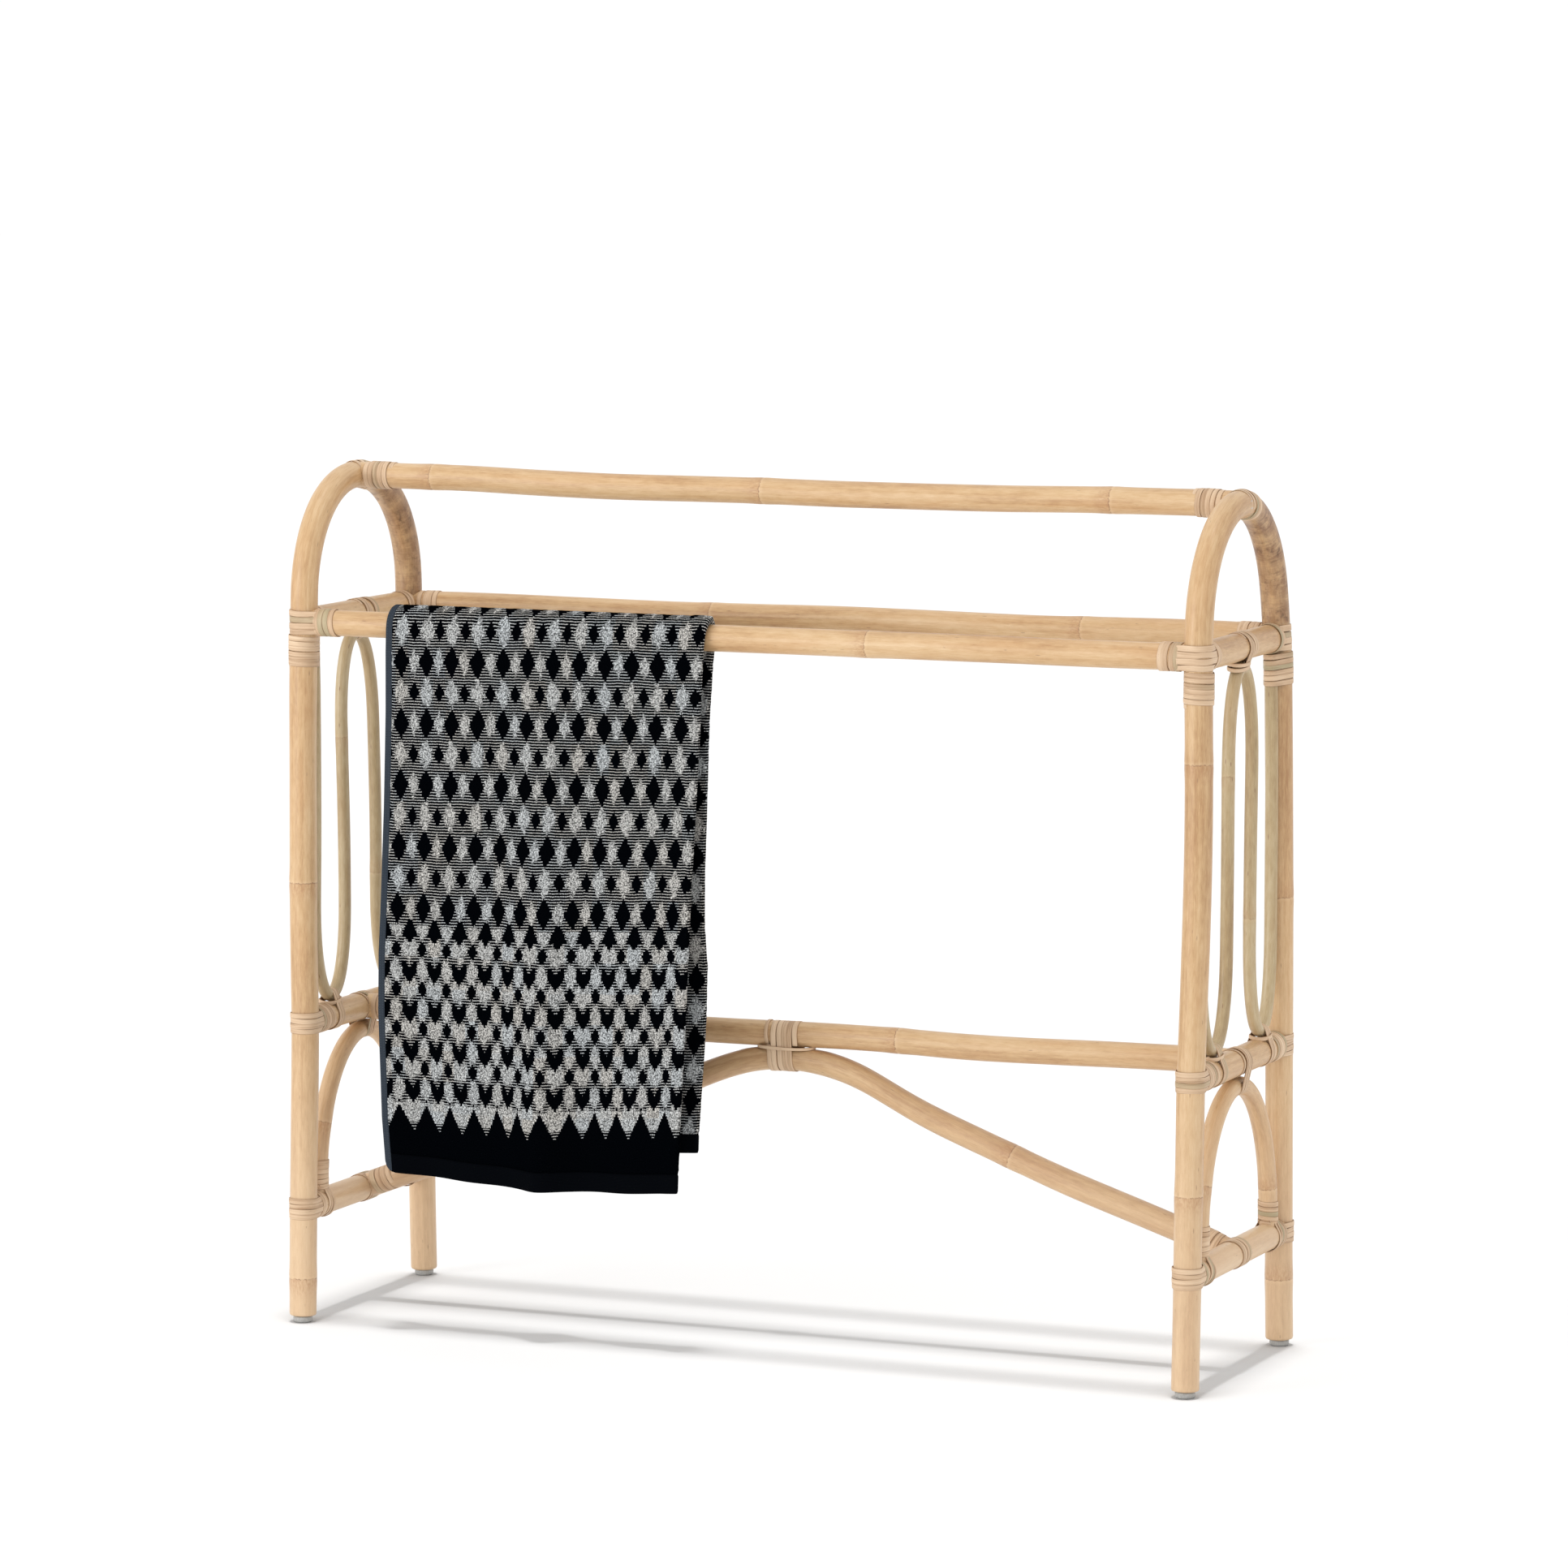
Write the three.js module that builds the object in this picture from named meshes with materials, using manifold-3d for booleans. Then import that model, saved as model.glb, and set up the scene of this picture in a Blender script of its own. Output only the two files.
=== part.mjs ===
// A folded terry towel hanging on the front rail of a free-standing rattan rack. Millimetres.
// +X runs along the rails, -Y is the front, +Z is up. The origin is on the floor, under the rack's middle.
import * as THREE from "three";
import { mergeVertices } from "three/addons/utils/BufferGeometryUtils.js";
import Module from "manifold-3d";

// The rack's overall sizes, all to the centre lines of the poles.
const FRAME_SPAN = 970; // between the two bent end frames
const FOOT_SPREAD = 283; // between the front and back legs at the floor
const RAIL_SPREAD = 236; // between the front and back rails
const RAIL_HEIGHT = 726;
const ARCH_RISE = 141; // from the rails up to the top of the end frames' arches
const MIDDLE_HEIGHT = 312; // of the middle side bars and the stretcher
const LOWER_HEIGHT = 119; // of the lower side bars

// Diameters.
const POLE = 28; // end frames and side bars
const RAIL = 27;
const STRETCHER = 26;
const BRACE = 26;
const FOOT_ARCH_CANE = 20;
const WAVE_CANE = 13;

// Bent shapes.
const WAVE_LOOP_SPREAD = 72; // between the two middle strands of a wave cane
const WAVE_BEND = 90; // height of each of its bends
const WAVE_END_DROP = 22; // from the rails' height down to the wave cane's two ends
const FOOT_ARCH_INSET = 34.6; // from a leg's centre line in to the small arch's foot
const FOOT_ARCH_SPRING = 21; // from the lower side bar's centre up to where it starts to bend
const BRACE_CREST = 95; // half length of the rounded crest in the brace's middle

// Peel bindings.
const PEEL = 2.2; // thickness of a wound band
const BAND = 28; // height of the band round a leg
const RAIL_REACH = 24; // how far a binding covers a rail, a middle bar or the stretcher, from the leg's face
const UPPER_BAR_REACH = 16; // the same, on an upper side bar
const LOWER_BAR_REACH = 5; // the same, on a lower side bar
const CANE_BAND = 26; // length of the band that holds a wave cane's end to its leg
const UPPER_TIE = 48; // length of the tie in the middle of an upper side bar
const MIDDLE_TIE = 28; // the same, on a middle or lower side bar
const CANE_TIE = 18; // length of the tie round a cane's bend or foot
const FOOT_BAND = 30; // length of the band on a small arch's foot
const CREST_TIE = 30; // length of the tie of the brace to the stretcher

// Hardware.
const GLIDE = { diameter: 20, height: 6.5, edge: 1, nail: 2.6, nailLength: 18 };
const SCREW = { diameter: 4.6, head: 9, headHeight: 3.5, grip: 40, sunk: 1.5 };

// The towel, folded once along its length and hung over the front rail.
const TOWEL_WIDTH = 348; // folded
const TOWEL_INSET = 95; // from the left end frame to the towel's hemmed edge
const TOWEL_THICKNESS = 8; // both layers
const FRONT_DROP = 566; // from the rail's centre to the front end
const BACK_DROP = 525;
const HEM_HEIGHT = 23;
const HEM_THICKNESS = 6;
const SIDE_HEM = 8; // width of the hem along the open edge

const GAP = 0.3; // between pieces that touch
const TOWEL_GAP = 0.5; // between the towel and the rail
const POLE_SIDES = 12;
const CANE_SIDES = 8;
const ARCH_STEPS = 12; // sections in an end frame's arch
const BEND_STEPS = 8; // sections in a cane's half bend, or in the brace's crest
const BINDING_STEPS = 4; // sections in a bent binding
const SCREW_SIDES = 8;

const SIDES = { left: -1, right: 1 };
const DEPTHS = { front: -1, back: 1 };

const wasm = await Module();
wasm.setup();

const materials = {
  pole: () => new THREE.MeshStandardMaterial({ color: 0xdcb98a, roughness: 0.5 }),
  cane: () => new THREE.MeshStandardMaterial({ color: 0xc9b58c, roughness: 0.5 }),
  peel: () => new THREE.MeshStandardMaterial({ color: 0xdcbf9f, roughness: 0.6 }),
  plastic: () => new THREE.MeshStandardMaterial({ color: 0x9c9c9a, roughness: 0.5 }),
  steel: () => new THREE.MeshStandardMaterial({ color: 0xa8a8a8, roughness: 0.4, metalness: 1 }),
  terry: () => new THREE.MeshStandardMaterial({ color: 0x4a4a48, roughness: 1 }),
  hem: () => new THREE.MeshStandardMaterial({ color: 0x0b0b0c, roughness: 0.9 }),
  sideHem: () => new THREE.MeshStandardMaterial({ color: 0x4c5258, roughness: 0.9 }),
};

const model = new THREE.Group();
model.name = "towel_on_rattan_rack";

// ---- solids ----

// A path that has one section at each of its points, so that a straight run needs only two.
class SectionPath extends THREE.CatmullRomCurve3 {
  getUtoTmapping(u) {
    return u;
  }
}

function solid(geometry) {
  const bare = geometry.index ? geometry.toNonIndexed() : geometry.clone();
  bare.deleteAttribute("normal");
  bare.deleteAttribute("uv");
  const merged = mergeVertices(bare, 1e-3);
  return new wasm.Manifold(
    new wasm.Mesh({
      numProp: 3,
      vertProperties: merged.getAttribute("position").array,
      triVerts: new Uint32Array(merged.index.array),
    }),
  );
}

function geometryOf(body) {
  const mesh = body.getMesh();
  const geometry = new THREE.BufferGeometry();
  geometry.setAttribute("position", new THREE.BufferAttribute(mesh.vertProperties, 3));
  geometry.setIndex(new THREE.BufferAttribute(mesh.triVerts, 1));
  const faceted = geometry.toNonIndexed();
  faceted.computeVertexNormals();
  return faceted;
}

const joined = (bodies) => bodies.reduce((sum, body) => sum.add(body));
const cut = (body, tools) => tools.reduce((rest, tool) => rest.subtract(tool), body);

function add(name, body, material) {
  const mesh = new THREE.Mesh(geometryOf(body), materials[material]());
  mesh.name = name;
  model.add(mesh);
}

// A round rod along the points, with a flat end at each.
function rod(points, diameter, sides = POLE_SIDES) {
  const corners = [];
  for (let i = 0; i < sides; i++) {
    const angle = (2 * Math.PI * i) / sides;
    corners.push(new THREE.Vector2(Math.cos(angle), Math.sin(angle)).multiplyScalar(diameter / 2));
  }
  const path = new SectionPath(points, false, "centripetal");
  const settings = { steps: points.length - 1, extrudePath: path, bevelEnabled: false };
  return solid(new THREE.ExtrudeGeometry(new THREE.Shape(corners), settings));
}

// The same points, with the first and the last moved outwards along the path.
function lengthened(points, length) {
  const reach = (end, next) => end.clone().sub(next).setLength(length).add(end);
  return [reach(points[0], points[1]), ...points.slice(1, -1), reach(points.at(-1), points.at(-2))];
}

// A pole or cane: its centre line, with the solid itself and the slightly larger one that clears it.
class Pole {
  constructor(points, diameter, sides = POLE_SIDES) {
    Object.assign(this, { diameter, sides });
    this.core = rod(points, diameter, sides);
    this.clear = rod(lengthened(points, GAP), diameter + 2 * GAP, sides);
  }

  // A solid sleeve over a stretch of it, which becomes a binding once the poles are cut out.
  sleeve(points) {
    return rod(points, this.diameter + 2 * (GAP + PEEL), this.sides);
  }
}

const at = (x, y, z) => new THREE.Vector3(x, y, z);

// ---- centre lines ----

const frameX = (side) => (side * FRAME_SPAN) / 2;
const legSlope = (RAIL_SPREAD - FOOT_SPREAD) / 2 / RAIL_HEIGHT;
const legY = (z) => FOOT_SPREAD / 2 + legSlope * z;
const archTop = RAIL_HEIGHT + ARCH_RISE;
// The arch is a half circle as wide as the legs are where it springs from them.
const archRadius = legY(archTop) / (1 + legSlope);
const archSpring = archTop - archRadius;
const LEG_END = GLIDE.height + GAP;
const COPE = POLE / 4; // how far past a pole's centre line the next one starts, before it is coped to it

function archPoint(x, angle) {
  return at(x, archRadius * Math.sin(angle), archSpring + archRadius * Math.cos(angle));
}

// Points of an arch stretch, from one angle to another, measured from its top.
function archPoints(x, from, to, steps) {
  const points = [];
  for (let i = 0; i <= steps; i++) points.push(archPoint(x, from + ((to - from) * i) / steps));
  return points;
}

// The leg's centre line carries on below the floor, where the leg is then cut off square.
function endFramePoints(x) {
  const foot = (sign) => at(x, sign * legY(-POLE), -POLE);
  return [foot(-1), ...archPoints(x, -Math.PI / 2, Math.PI / 2, ARCH_STEPS), foot(1)];
}

// Half an ellipse from one strand to the next: down = -1 turns below the strands, +1 above.
function bendPoints(x, fromY, toY, z, down) {
  const points = [];
  for (let i = 1; i < BEND_STEPS; i++) {
    const angle = (Math.PI * i) / BEND_STEPS;
    const y = (fromY + toY) / 2 - ((toY - fromY) / 2) * Math.cos(angle);
    points.push(at(x, y, z + down * WAVE_BEND * Math.sin(angle)));
  }
  return points;
}

const strandInset = POLE / 2 + WAVE_CANE / 2 + GAP; // from the leg's centre line to the strand beside it
const outerStrand = (z) => legY(z) - strandInset;
const waveBottom = MIDDLE_HEIGHT + POLE / 2 + WAVE_CANE / 2 + GAP;
const waveTop = RAIL_HEIGHT - POLE / 2 - WAVE_CANE / 2 - GAP;
const waveEnd = RAIL_HEIGHT - WAVE_END_DROP;
const lowBend = waveBottom + WAVE_BEND; // where the strands run into their lower bends
const topBend = waveTop - WAVE_BEND;

function wavePoints(x) {
  const outer = outerStrand(lowBend);
  const inner = WAVE_LOOP_SPREAD / 2;
  return [
    at(x, -outerStrand(waveEnd), waveEnd),
    at(x, -outer, lowBend),
    ...bendPoints(x, -outer, -inner, lowBend, -1),
    at(x, -inner, lowBend),
    at(x, -inner, topBend),
    ...bendPoints(x, -inner, inner, topBend, 1),
    at(x, inner, topBend),
    at(x, inner, lowBend),
    ...bendPoints(x, inner, outer, lowBend, -1),
    at(x, outer, lowBend),
    at(x, outerStrand(waveEnd), waveEnd),
  ];
}

const footArchHalf = legY(LOWER_HEIGHT) - FOOT_ARCH_INSET;
const footArchSpring = LOWER_HEIGHT + FOOT_ARCH_SPRING;
const footArchTop = MIDDLE_HEIGHT - POLE / 2 - FOOT_ARCH_CANE / 2 - GAP;

// Half an ellipse on two short straight feet.
function footArchPoints(x) {
  const half = footArchHalf;
  const points = [at(x, -half, LOWER_HEIGHT + COPE)];
  for (let i = 0; i <= 2 * BEND_STEPS; i++) {
    const angle = (Math.PI * i) / (2 * BEND_STEPS);
    const rise = (footArchTop - footArchSpring) * Math.sin(angle);
    points.push(at(x, -half * Math.cos(angle), footArchSpring + rise));
  }
  points.push(at(x, half, LOWER_HEIGHT + COPE));
  return points;
}

// Straight arms from the lower side bars, with a parabola between them as the crest.
const braceTop = MIDDLE_HEIGHT - (STRETCHER + BRACE) / 2 - GAP;
const armRun = FRAME_SPAN / 2 - BRACE_CREST / 2;
const armSlope = (braceTop - LOWER_HEIGHT) / armRun;

function braceZ(x) {
  const along = Math.abs(x);
  if (along > BRACE_CREST) return LOWER_HEIGHT + armSlope * (FRAME_SPAN / 2 - along);
  return braceTop - (armSlope * along * along) / (2 * BRACE_CREST);
}

function bracePoints(from, to, steps) {
  const points = [];
  for (let i = 0; i <= steps; i++) {
    const x = from + ((to - from) * i) / steps;
    points.push(at(x, 0, braceZ(x)));
  }
  return points;
}

// ---- poles and canes ----

const railLine = (y, z) => [at(-FRAME_SPAN / 2 + COPE, y, z), at(FRAME_SPAN / 2 - COPE, y, z)];
const barLine = (x, z) => [at(x, -legY(z) + COPE, z), at(x, legY(z) - COPE, z)];
const barHeights = { upper: RAIL_HEIGHT, middle: MIDDLE_HEIGHT, lower: LOWER_HEIGHT };

const frames = {};
const bars = { upper: {}, middle: {}, lower: {} };
const waves = {};
const footArches = {};
for (const [side, sign] of Object.entries(SIDES)) {
  const x = frameX(sign);
  frames[side] = new Pole(endFramePoints(x), POLE);
  for (const [level, height] of Object.entries(barHeights)) {
    bars[level][side] = new Pole(barLine(x, height), POLE);
  }
  waves[side] = new Pole(wavePoints(x), WAVE_CANE, CANE_SIDES);
  footArches[side] = new Pole(footArchPoints(x), FOOT_ARCH_CANE, CANE_SIDES);
}
const rails = {
  top: new Pole(railLine(0, archTop), RAIL),
  front: new Pole(railLine(-RAIL_SPREAD / 2, RAIL_HEIGHT), RAIL),
  back: new Pole(railLine(RAIL_SPREAD / 2, RAIL_HEIGHT), RAIL),
};
const stretcher = new Pole(railLine(0, MIDDLE_HEIGHT), STRETCHER);
const armTip = (sign) => at(sign * (FRAME_SPAN / 2 - COPE), 0, braceZ(FRAME_SPAN / 2 - COPE));
const crest = bracePoints(-BRACE_CREST, BRACE_CREST, BEND_STEPS);
const brace = new Pole([armTip(-1), ...crest, armTip(1)], BRACE);

// ---- hardware ----

// A turned shape: its profile lists radius and height, from the axis back to the axis, along +Z.
function turned(profile, sides = POLE_SIDES) {
  const points = profile.map(([radius, height]) => new THREE.Vector2(radius, height));
  return new THREE.LatheGeometry(points, sides).rotateX(Math.PI / 2);
}

function glideProfile(grow) {
  const { diameter, height, edge, nail, nailLength } = GLIDE;
  return [
    [0, 0],
    [diameter / 2 - edge, 0],
    [diameter / 2, edge],
    [diameter / 2, height],
    [nail / 2 + grow, height],
    [nail / 2 + grow, height + nailLength + grow],
    [0, height + nailLength + grow],
  ];
}

// A nail-on glide stands upright under its leg's centre line.
function glide(x, depth, grow = 0) {
  return solid(turned(glideProfile(grow)).translate(x, depth * legY(0), 0));
}

function screwProfile(grow) {
  const start = -POLE / 2 + SCREW.sunk;
  const end = POLE / 2 + SCREW.grip;
  const head = SCREW.head / 2 + grow;
  const shank = SCREW.diameter / 2 + grow;
  return [
    [0, start - (grow ? POLE : 0)],
    [head, start - (grow ? POLE : 0)],
    [head, start],
    [shank, start + SCREW.headHeight],
    [shank, end + grow],
    [0, end + grow],
  ];
}

// A countersunk screw runs from the end frame's outer face into a rail's end.
function screw(sign, y, z, grow = 0) {
  const shape = turned(screwProfile(grow), SCREW_SIDES).rotateY((-sign * Math.PI) / 2);
  return solid(shape.translate(frameX(sign), y, z));
}

const railPlaces = {
  top: [0, archTop],
  front: [-RAIL_SPREAD / 2, RAIL_HEIGHT],
  back: [RAIL_SPREAD / 2, RAIL_HEIGHT],
};

// ---- the rack ----

function addEndFrames() {
  for (const [side, sign] of Object.entries(SIDES)) {
    const x = frameX(sign);
    const floorCut = new THREE.BoxGeometry(2 * POLE, 2 * FOOT_SPREAD, 4 * POLE);
    floorCut.translate(x, 0, LEG_END - 2 * POLE);
    const nails = Object.values(DEPTHS).map((depth) => glide(x, depth, GAP));
    const screws = Object.values(railPlaces).map(([y, z]) => screw(sign, y, z, GAP));
    add(`end_frame_${side}`, cut(frames[side].core, [solid(floorCut), ...nails, ...screws]), "pole");
    for (const [end, depth] of Object.entries(DEPTHS)) {
      add(`glide_${end}_${side}`, glide(x, depth), "plastic");
    }
  }
}

function addRails() {
  const ends = Object.values(frames).map((frame) => frame.clear);
  for (const [name, [y, z]] of Object.entries(railPlaces)) {
    const screws = Object.values(SIDES).map((sign) => screw(sign, y, z, GAP));
    add(`rail_${name}`, cut(rails[name].core, [...ends, ...screws]), "pole");
    for (const [side, sign] of Object.entries(SIDES)) {
      add(`screw_${name}_${side}`, screw(sign, y, z), "steel");
    }
  }
  const lowerEnds = Object.values(bars.lower).map((bar) => bar.clear);
  const middleEnds = Object.values(bars.middle).map((bar) => bar.clear);
  add("stretcher", cut(stretcher.core, middleEnds), "pole");
  add("brace", cut(brace.core, lowerEnds), "pole");
}

function addEndPieces() {
  for (const side of Object.keys(SIDES)) {
    for (const level of Object.keys(bars)) {
      const railEnds = level === "upper" ? [rails.front.clear, rails.back.clear] : [];
      const bar = cut(bars[level][side].core, [frames[side].clear, ...railEnds]);
      add(`side_bar_${level}_${side}`, bar, "pole");
    }
    add(`wave_cane_${side}`, waves[side].core, "cane");
    add(`foot_arch_${side}`, cut(footArches[side].core, [bars.lower[side].clear]), "pole");
  }
}

// ---- peel bindings ----

// A stretch of a leg's centre line between two heights.
function legStretch(x, depth, low, high) {
  return [at(x, depth * legY(low), low), at(x, depth * legY(high), high)];
}

// A stretch along Y, inwards from a leg's centre line, that ends a reach past the leg's face.
function barStretch(x, depth, z, reach) {
  return [at(x, depth * legY(z), z), at(x, depth * (legY(z) - POLE / 2 - reach), z)];
}

// The same along X, inwards from an end frame.
function railStretch(sign, y, z) {
  return [at(frameX(sign), y, z), at(frameX(sign) - sign * (POLE / 2 + RAIL_REACH), y, z)];
}

// A stretch along Y, centred on a point.
const across = (x, y, z, length) => [at(x, y - length / 2, z), at(x, y + length / 2, z)];

function bindApex(side, sign) {
  const spread = (POLE / 2 + PEEL + RAIL_REACH / 2) / archRadius;
  const body = joined([
    rails.top.sleeve(railStretch(sign, 0, archTop)),
    frames[side].sleeve(archPoints(frameX(sign), -spread, spread, BINDING_STEPS)),
  ]);
  add(`bind_apex_${side}`, cut(body, [frames[side].clear, rails.top.clear]), "peel");
}

// One binding holds a rail and an upper side bar to a leg, and the wave cane's end below them.
function bindRailCorner(side, sign, end, depth) {
  const x = frameX(sign);
  const low = waveEnd - CANE_BAND;
  const strand = (z) => at(x, depth * outerStrand(z), z);
  const body = joined([
    frames[side].sleeve(legStretch(x, depth, low, RAIL_HEIGHT + BAND / 2)),
    rails[end].sleeve(railStretch(sign, (depth * RAIL_SPREAD) / 2, RAIL_HEIGHT)),
    bars.upper[side].sleeve(barStretch(x, depth, RAIL_HEIGHT, UPPER_BAR_REACH)),
    waves[side].sleeve([strand(low), strand(waveEnd - GAP)]),
  ]);
  const poles = [frames[side], rails[end], bars.upper[side], waves[side]].map((pole) => pole.clear);
  add(`bind_rail_${end}_${side}`, cut(body, poles), "peel");
}

function bindBarCorner(level, reach, side, sign, end, depth) {
  const x = frameX(sign);
  const z = barHeights[level];
  const body = joined([
    frames[side].sleeve(legStretch(x, depth, z - BAND / 2, z + BAND / 2)),
    bars[level][side].sleeve(barStretch(x, depth, z, reach)),
  ]);
  add(`bind_${level}_${end}_${side}`, cut(body, [frames[side].clear, bars[level][side].clear]), "peel");
}

// Ties a wave cane's lower bend to the middle side bar.
function bindWaveFoot(side, sign, end, depth) {
  const x = frameX(sign);
  const y = (depth * (outerStrand(lowBend) + WAVE_LOOP_SPREAD / 2)) / 2;
  const body = joined([
    bars.middle[side].sleeve(across(x, y, MIDDLE_HEIGHT, CANE_TIE)),
    waves[side].sleeve(across(x, y, waveBottom, CANE_TIE)),
  ]);
  add(`bind_wave_${end}_${side}`, cut(body, [bars.middle[side].clear, waves[side].clear]), "peel");
}

// Ties a small arch's foot to the lower side bar.
function bindArchFoot(side, sign, end, depth) {
  const x = frameX(sign);
  const y = depth * footArchHalf;
  const top = LOWER_HEIGHT + POLE / 2 + FOOT_BAND;
  const body = joined([
    bars.lower[side].sleeve(across(x, y, LOWER_HEIGHT, CANE_TIE)),
    footArches[side].sleeve([at(x, y, LOWER_HEIGHT), at(x, y, top)]),
  ]);
  add(`bind_foot_${end}_${side}`, cut(body, [bars.lower[side].clear, footArches[side].clear]), "peel");
}

// Ties the top of a wave cane under the upper side bar.
function bindUpperTie(side, sign) {
  const x = frameX(sign);
  const [bar, wave] = [bars.upper[side], waves[side]];
  const body = joined([
    bar.sleeve(across(x, 0, RAIL_HEIGHT, UPPER_TIE)),
    wave.sleeve(across(x, 0, waveTop, CANE_TIE)),
  ]);
  add(`bind_upper_tie_${side}`, cut(body, [bar.clear, wave.clear]), "peel");
}

// Holds the stretcher's end to the middle side bar, with the top of the small arch below it.
function bindMiddleTie(side, sign) {
  const x = frameX(sign);
  const [bar, arch] = [bars.middle[side], footArches[side]];
  const body = joined([
    bar.sleeve(across(x, 0, MIDDLE_HEIGHT, MIDDLE_TIE)),
    arch.sleeve(across(x, 0, footArchTop, CANE_TIE)),
    stretcher.sleeve(railStretch(sign, 0, MIDDLE_HEIGHT)),
  ]);
  add(`bind_middle_tie_${side}`, cut(body, [bar.clear, arch.clear, stretcher.clear]), "peel");
}

// Holds the brace's end to the lower side bar.
function bindLowerTie(side, sign) {
  const x = frameX(sign);
  const bar = bars.lower[side];
  const tip = FRAME_SPAN / 2 - POLE / 2 - RAIL_REACH;
  const body = joined([
    bar.sleeve(across(x, 0, LOWER_HEIGHT, MIDDLE_TIE)),
    brace.sleeve([at(x, 0, LOWER_HEIGHT), at(sign * tip, 0, braceZ(tip))]),
  ]);
  add(`bind_lower_tie_${side}`, cut(body, [bar.clear, brace.clear]), "peel");
}

// Ties the brace's crest to the stretcher.
function bindCrest() {
  const half = CREST_TIE / 2;
  const body = joined([
    stretcher.sleeve([at(-half, 0, MIDDLE_HEIGHT), at(half, 0, MIDDLE_HEIGHT)]),
    brace.sleeve(bracePoints(-half, half, BINDING_STEPS)),
  ]);
  add("bind_crest", cut(body, [stretcher.clear, brace.clear]), "peel");
}

function addBindings() {
  for (const [side, sign] of Object.entries(SIDES)) {
    bindApex(side, sign);
    bindUpperTie(side, sign);
    bindMiddleTie(side, sign);
    bindLowerTie(side, sign);
    for (const [end, depth] of Object.entries(DEPTHS)) {
      bindRailCorner(side, sign, end, depth);
      bindBarCorner("middle", RAIL_REACH, side, sign, end, depth);
      bindBarCorner("lower", LOWER_BAR_REACH, side, sign, end, depth);
      bindWaveFoot(side, sign, end, depth);
      bindArchFoot(side, sign, end, depth);
    }
  }
  bindCrest();
}

// ---- the towel ----

// A cloth of even thickness over the rail, drawn in the Y-Z plane and as wide as given along X.
function draped(left, width, thickness, frontDrop, backDrop) {
  const inner = RAIL / 2 + TOWEL_GAP;
  const outer = inner + thickness;
  const y = -RAIL_SPREAD / 2;
  const outline = new THREE.Shape();
  outline.moveTo(y - outer, RAIL_HEIGHT - frontDrop);
  outline.lineTo(y - inner, RAIL_HEIGHT - frontDrop);
  outline.absarc(y, RAIL_HEIGHT, inner, Math.PI, 0, true);
  outline.lineTo(y + inner, RAIL_HEIGHT - backDrop);
  outline.lineTo(y + outer, RAIL_HEIGHT - backDrop);
  outline.absarc(y, RAIL_HEIGHT, outer, 0, Math.PI, false);
  const cloth = new THREE.ExtrudeGeometry(outline, { depth: width, bevelEnabled: false, curveSegments: 12 });
  cloth.applyMatrix4(new THREE.Matrix4().makeBasis(at(0, 1, 0), at(0, 0, 1), at(1, 0, 0)));
  return solid(cloth.translate(left, 0, 0));
}

// A woven hem across one end, level with the inner face of the cloth above it.
function endHem(left, width, depth, drop) {
  const face = RAIL / 2 + TOWEL_GAP + HEM_THICKNESS / 2;
  const hem = new THREE.BoxGeometry(width, HEM_THICKNESS, HEM_HEIGHT);
  const y = -RAIL_SPREAD / 2 + depth * face;
  return solid(hem.translate(left + width / 2, y, RAIL_HEIGHT - drop + HEM_HEIGHT / 2));
}

function addTowel() {
  const edge = frameX(SIDES.left) + TOWEL_INSET;
  const left = edge + SIDE_HEM + GAP;
  const width = TOWEL_WIDTH - SIDE_HEM - GAP;
  const taken = HEM_HEIGHT + GAP;
  add("towel", draped(left, width, TOWEL_THICKNESS, FRONT_DROP - taken, BACK_DROP - taken), "terry");
  add("towel_side_hem", draped(edge, SIDE_HEM, HEM_THICKNESS, FRONT_DROP, BACK_DROP), "sideHem");
  add("towel_hem_front", endHem(left, width, DEPTHS.front, FRONT_DROP), "hem");
  add("towel_hem_back", endHem(left, width, DEPTHS.back, BACK_DROP), "hem");
}

addEndFrames();
addRails();
addEndPieces();
addBindings();
addTowel();

export default model;
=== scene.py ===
"""The looks of a folded terry towel on a rattan towel rack. Metres; +X along the rails, -Y the front, +Z up."""

import math
from functools import partial

import bpy
import numpy as np
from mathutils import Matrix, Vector, noise


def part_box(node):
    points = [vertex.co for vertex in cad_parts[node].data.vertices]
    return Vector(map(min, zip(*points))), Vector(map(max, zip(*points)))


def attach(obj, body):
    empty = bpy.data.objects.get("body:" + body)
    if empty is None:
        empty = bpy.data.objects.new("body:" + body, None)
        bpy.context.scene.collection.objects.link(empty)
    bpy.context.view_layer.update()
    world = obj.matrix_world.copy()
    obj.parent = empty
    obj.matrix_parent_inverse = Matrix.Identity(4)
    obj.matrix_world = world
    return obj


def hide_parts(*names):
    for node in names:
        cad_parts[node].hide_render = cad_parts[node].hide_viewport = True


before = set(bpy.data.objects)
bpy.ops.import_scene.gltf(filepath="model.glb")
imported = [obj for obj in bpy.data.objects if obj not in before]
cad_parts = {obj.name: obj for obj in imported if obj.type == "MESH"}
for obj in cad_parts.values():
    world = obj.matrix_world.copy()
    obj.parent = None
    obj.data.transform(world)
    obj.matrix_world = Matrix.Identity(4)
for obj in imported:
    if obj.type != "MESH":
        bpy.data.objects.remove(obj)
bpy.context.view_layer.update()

# The rack's sizes. The brace and the small arches measure a little less than their solids.
FRAME_X = 0.485  # from the middle to an end frame
FOOT_Y, LEG_SLOPE = 0.1415, -0.0323691  # a leg's distance from the middle at the floor, and its change with height
LEG_END = 0.0068  # height of a leg's lower end, which stands in its glide
SPRING_Z, ARCH_R = 0.749769, 0.117231  # centre and radius of an end arch
RAIL_Y, RAIL_Z, TOP_Z = 0.118, 0.726, 0.867
MIDDLE_Z, LOWER_Z = 0.312, 0.119
POLE, RAIL, STRETCHER, BRACE = 0.028, 0.027, 0.026, 0.025
FOOT_CANE, WAVE_CANE = 0.0188, 0.013
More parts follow.
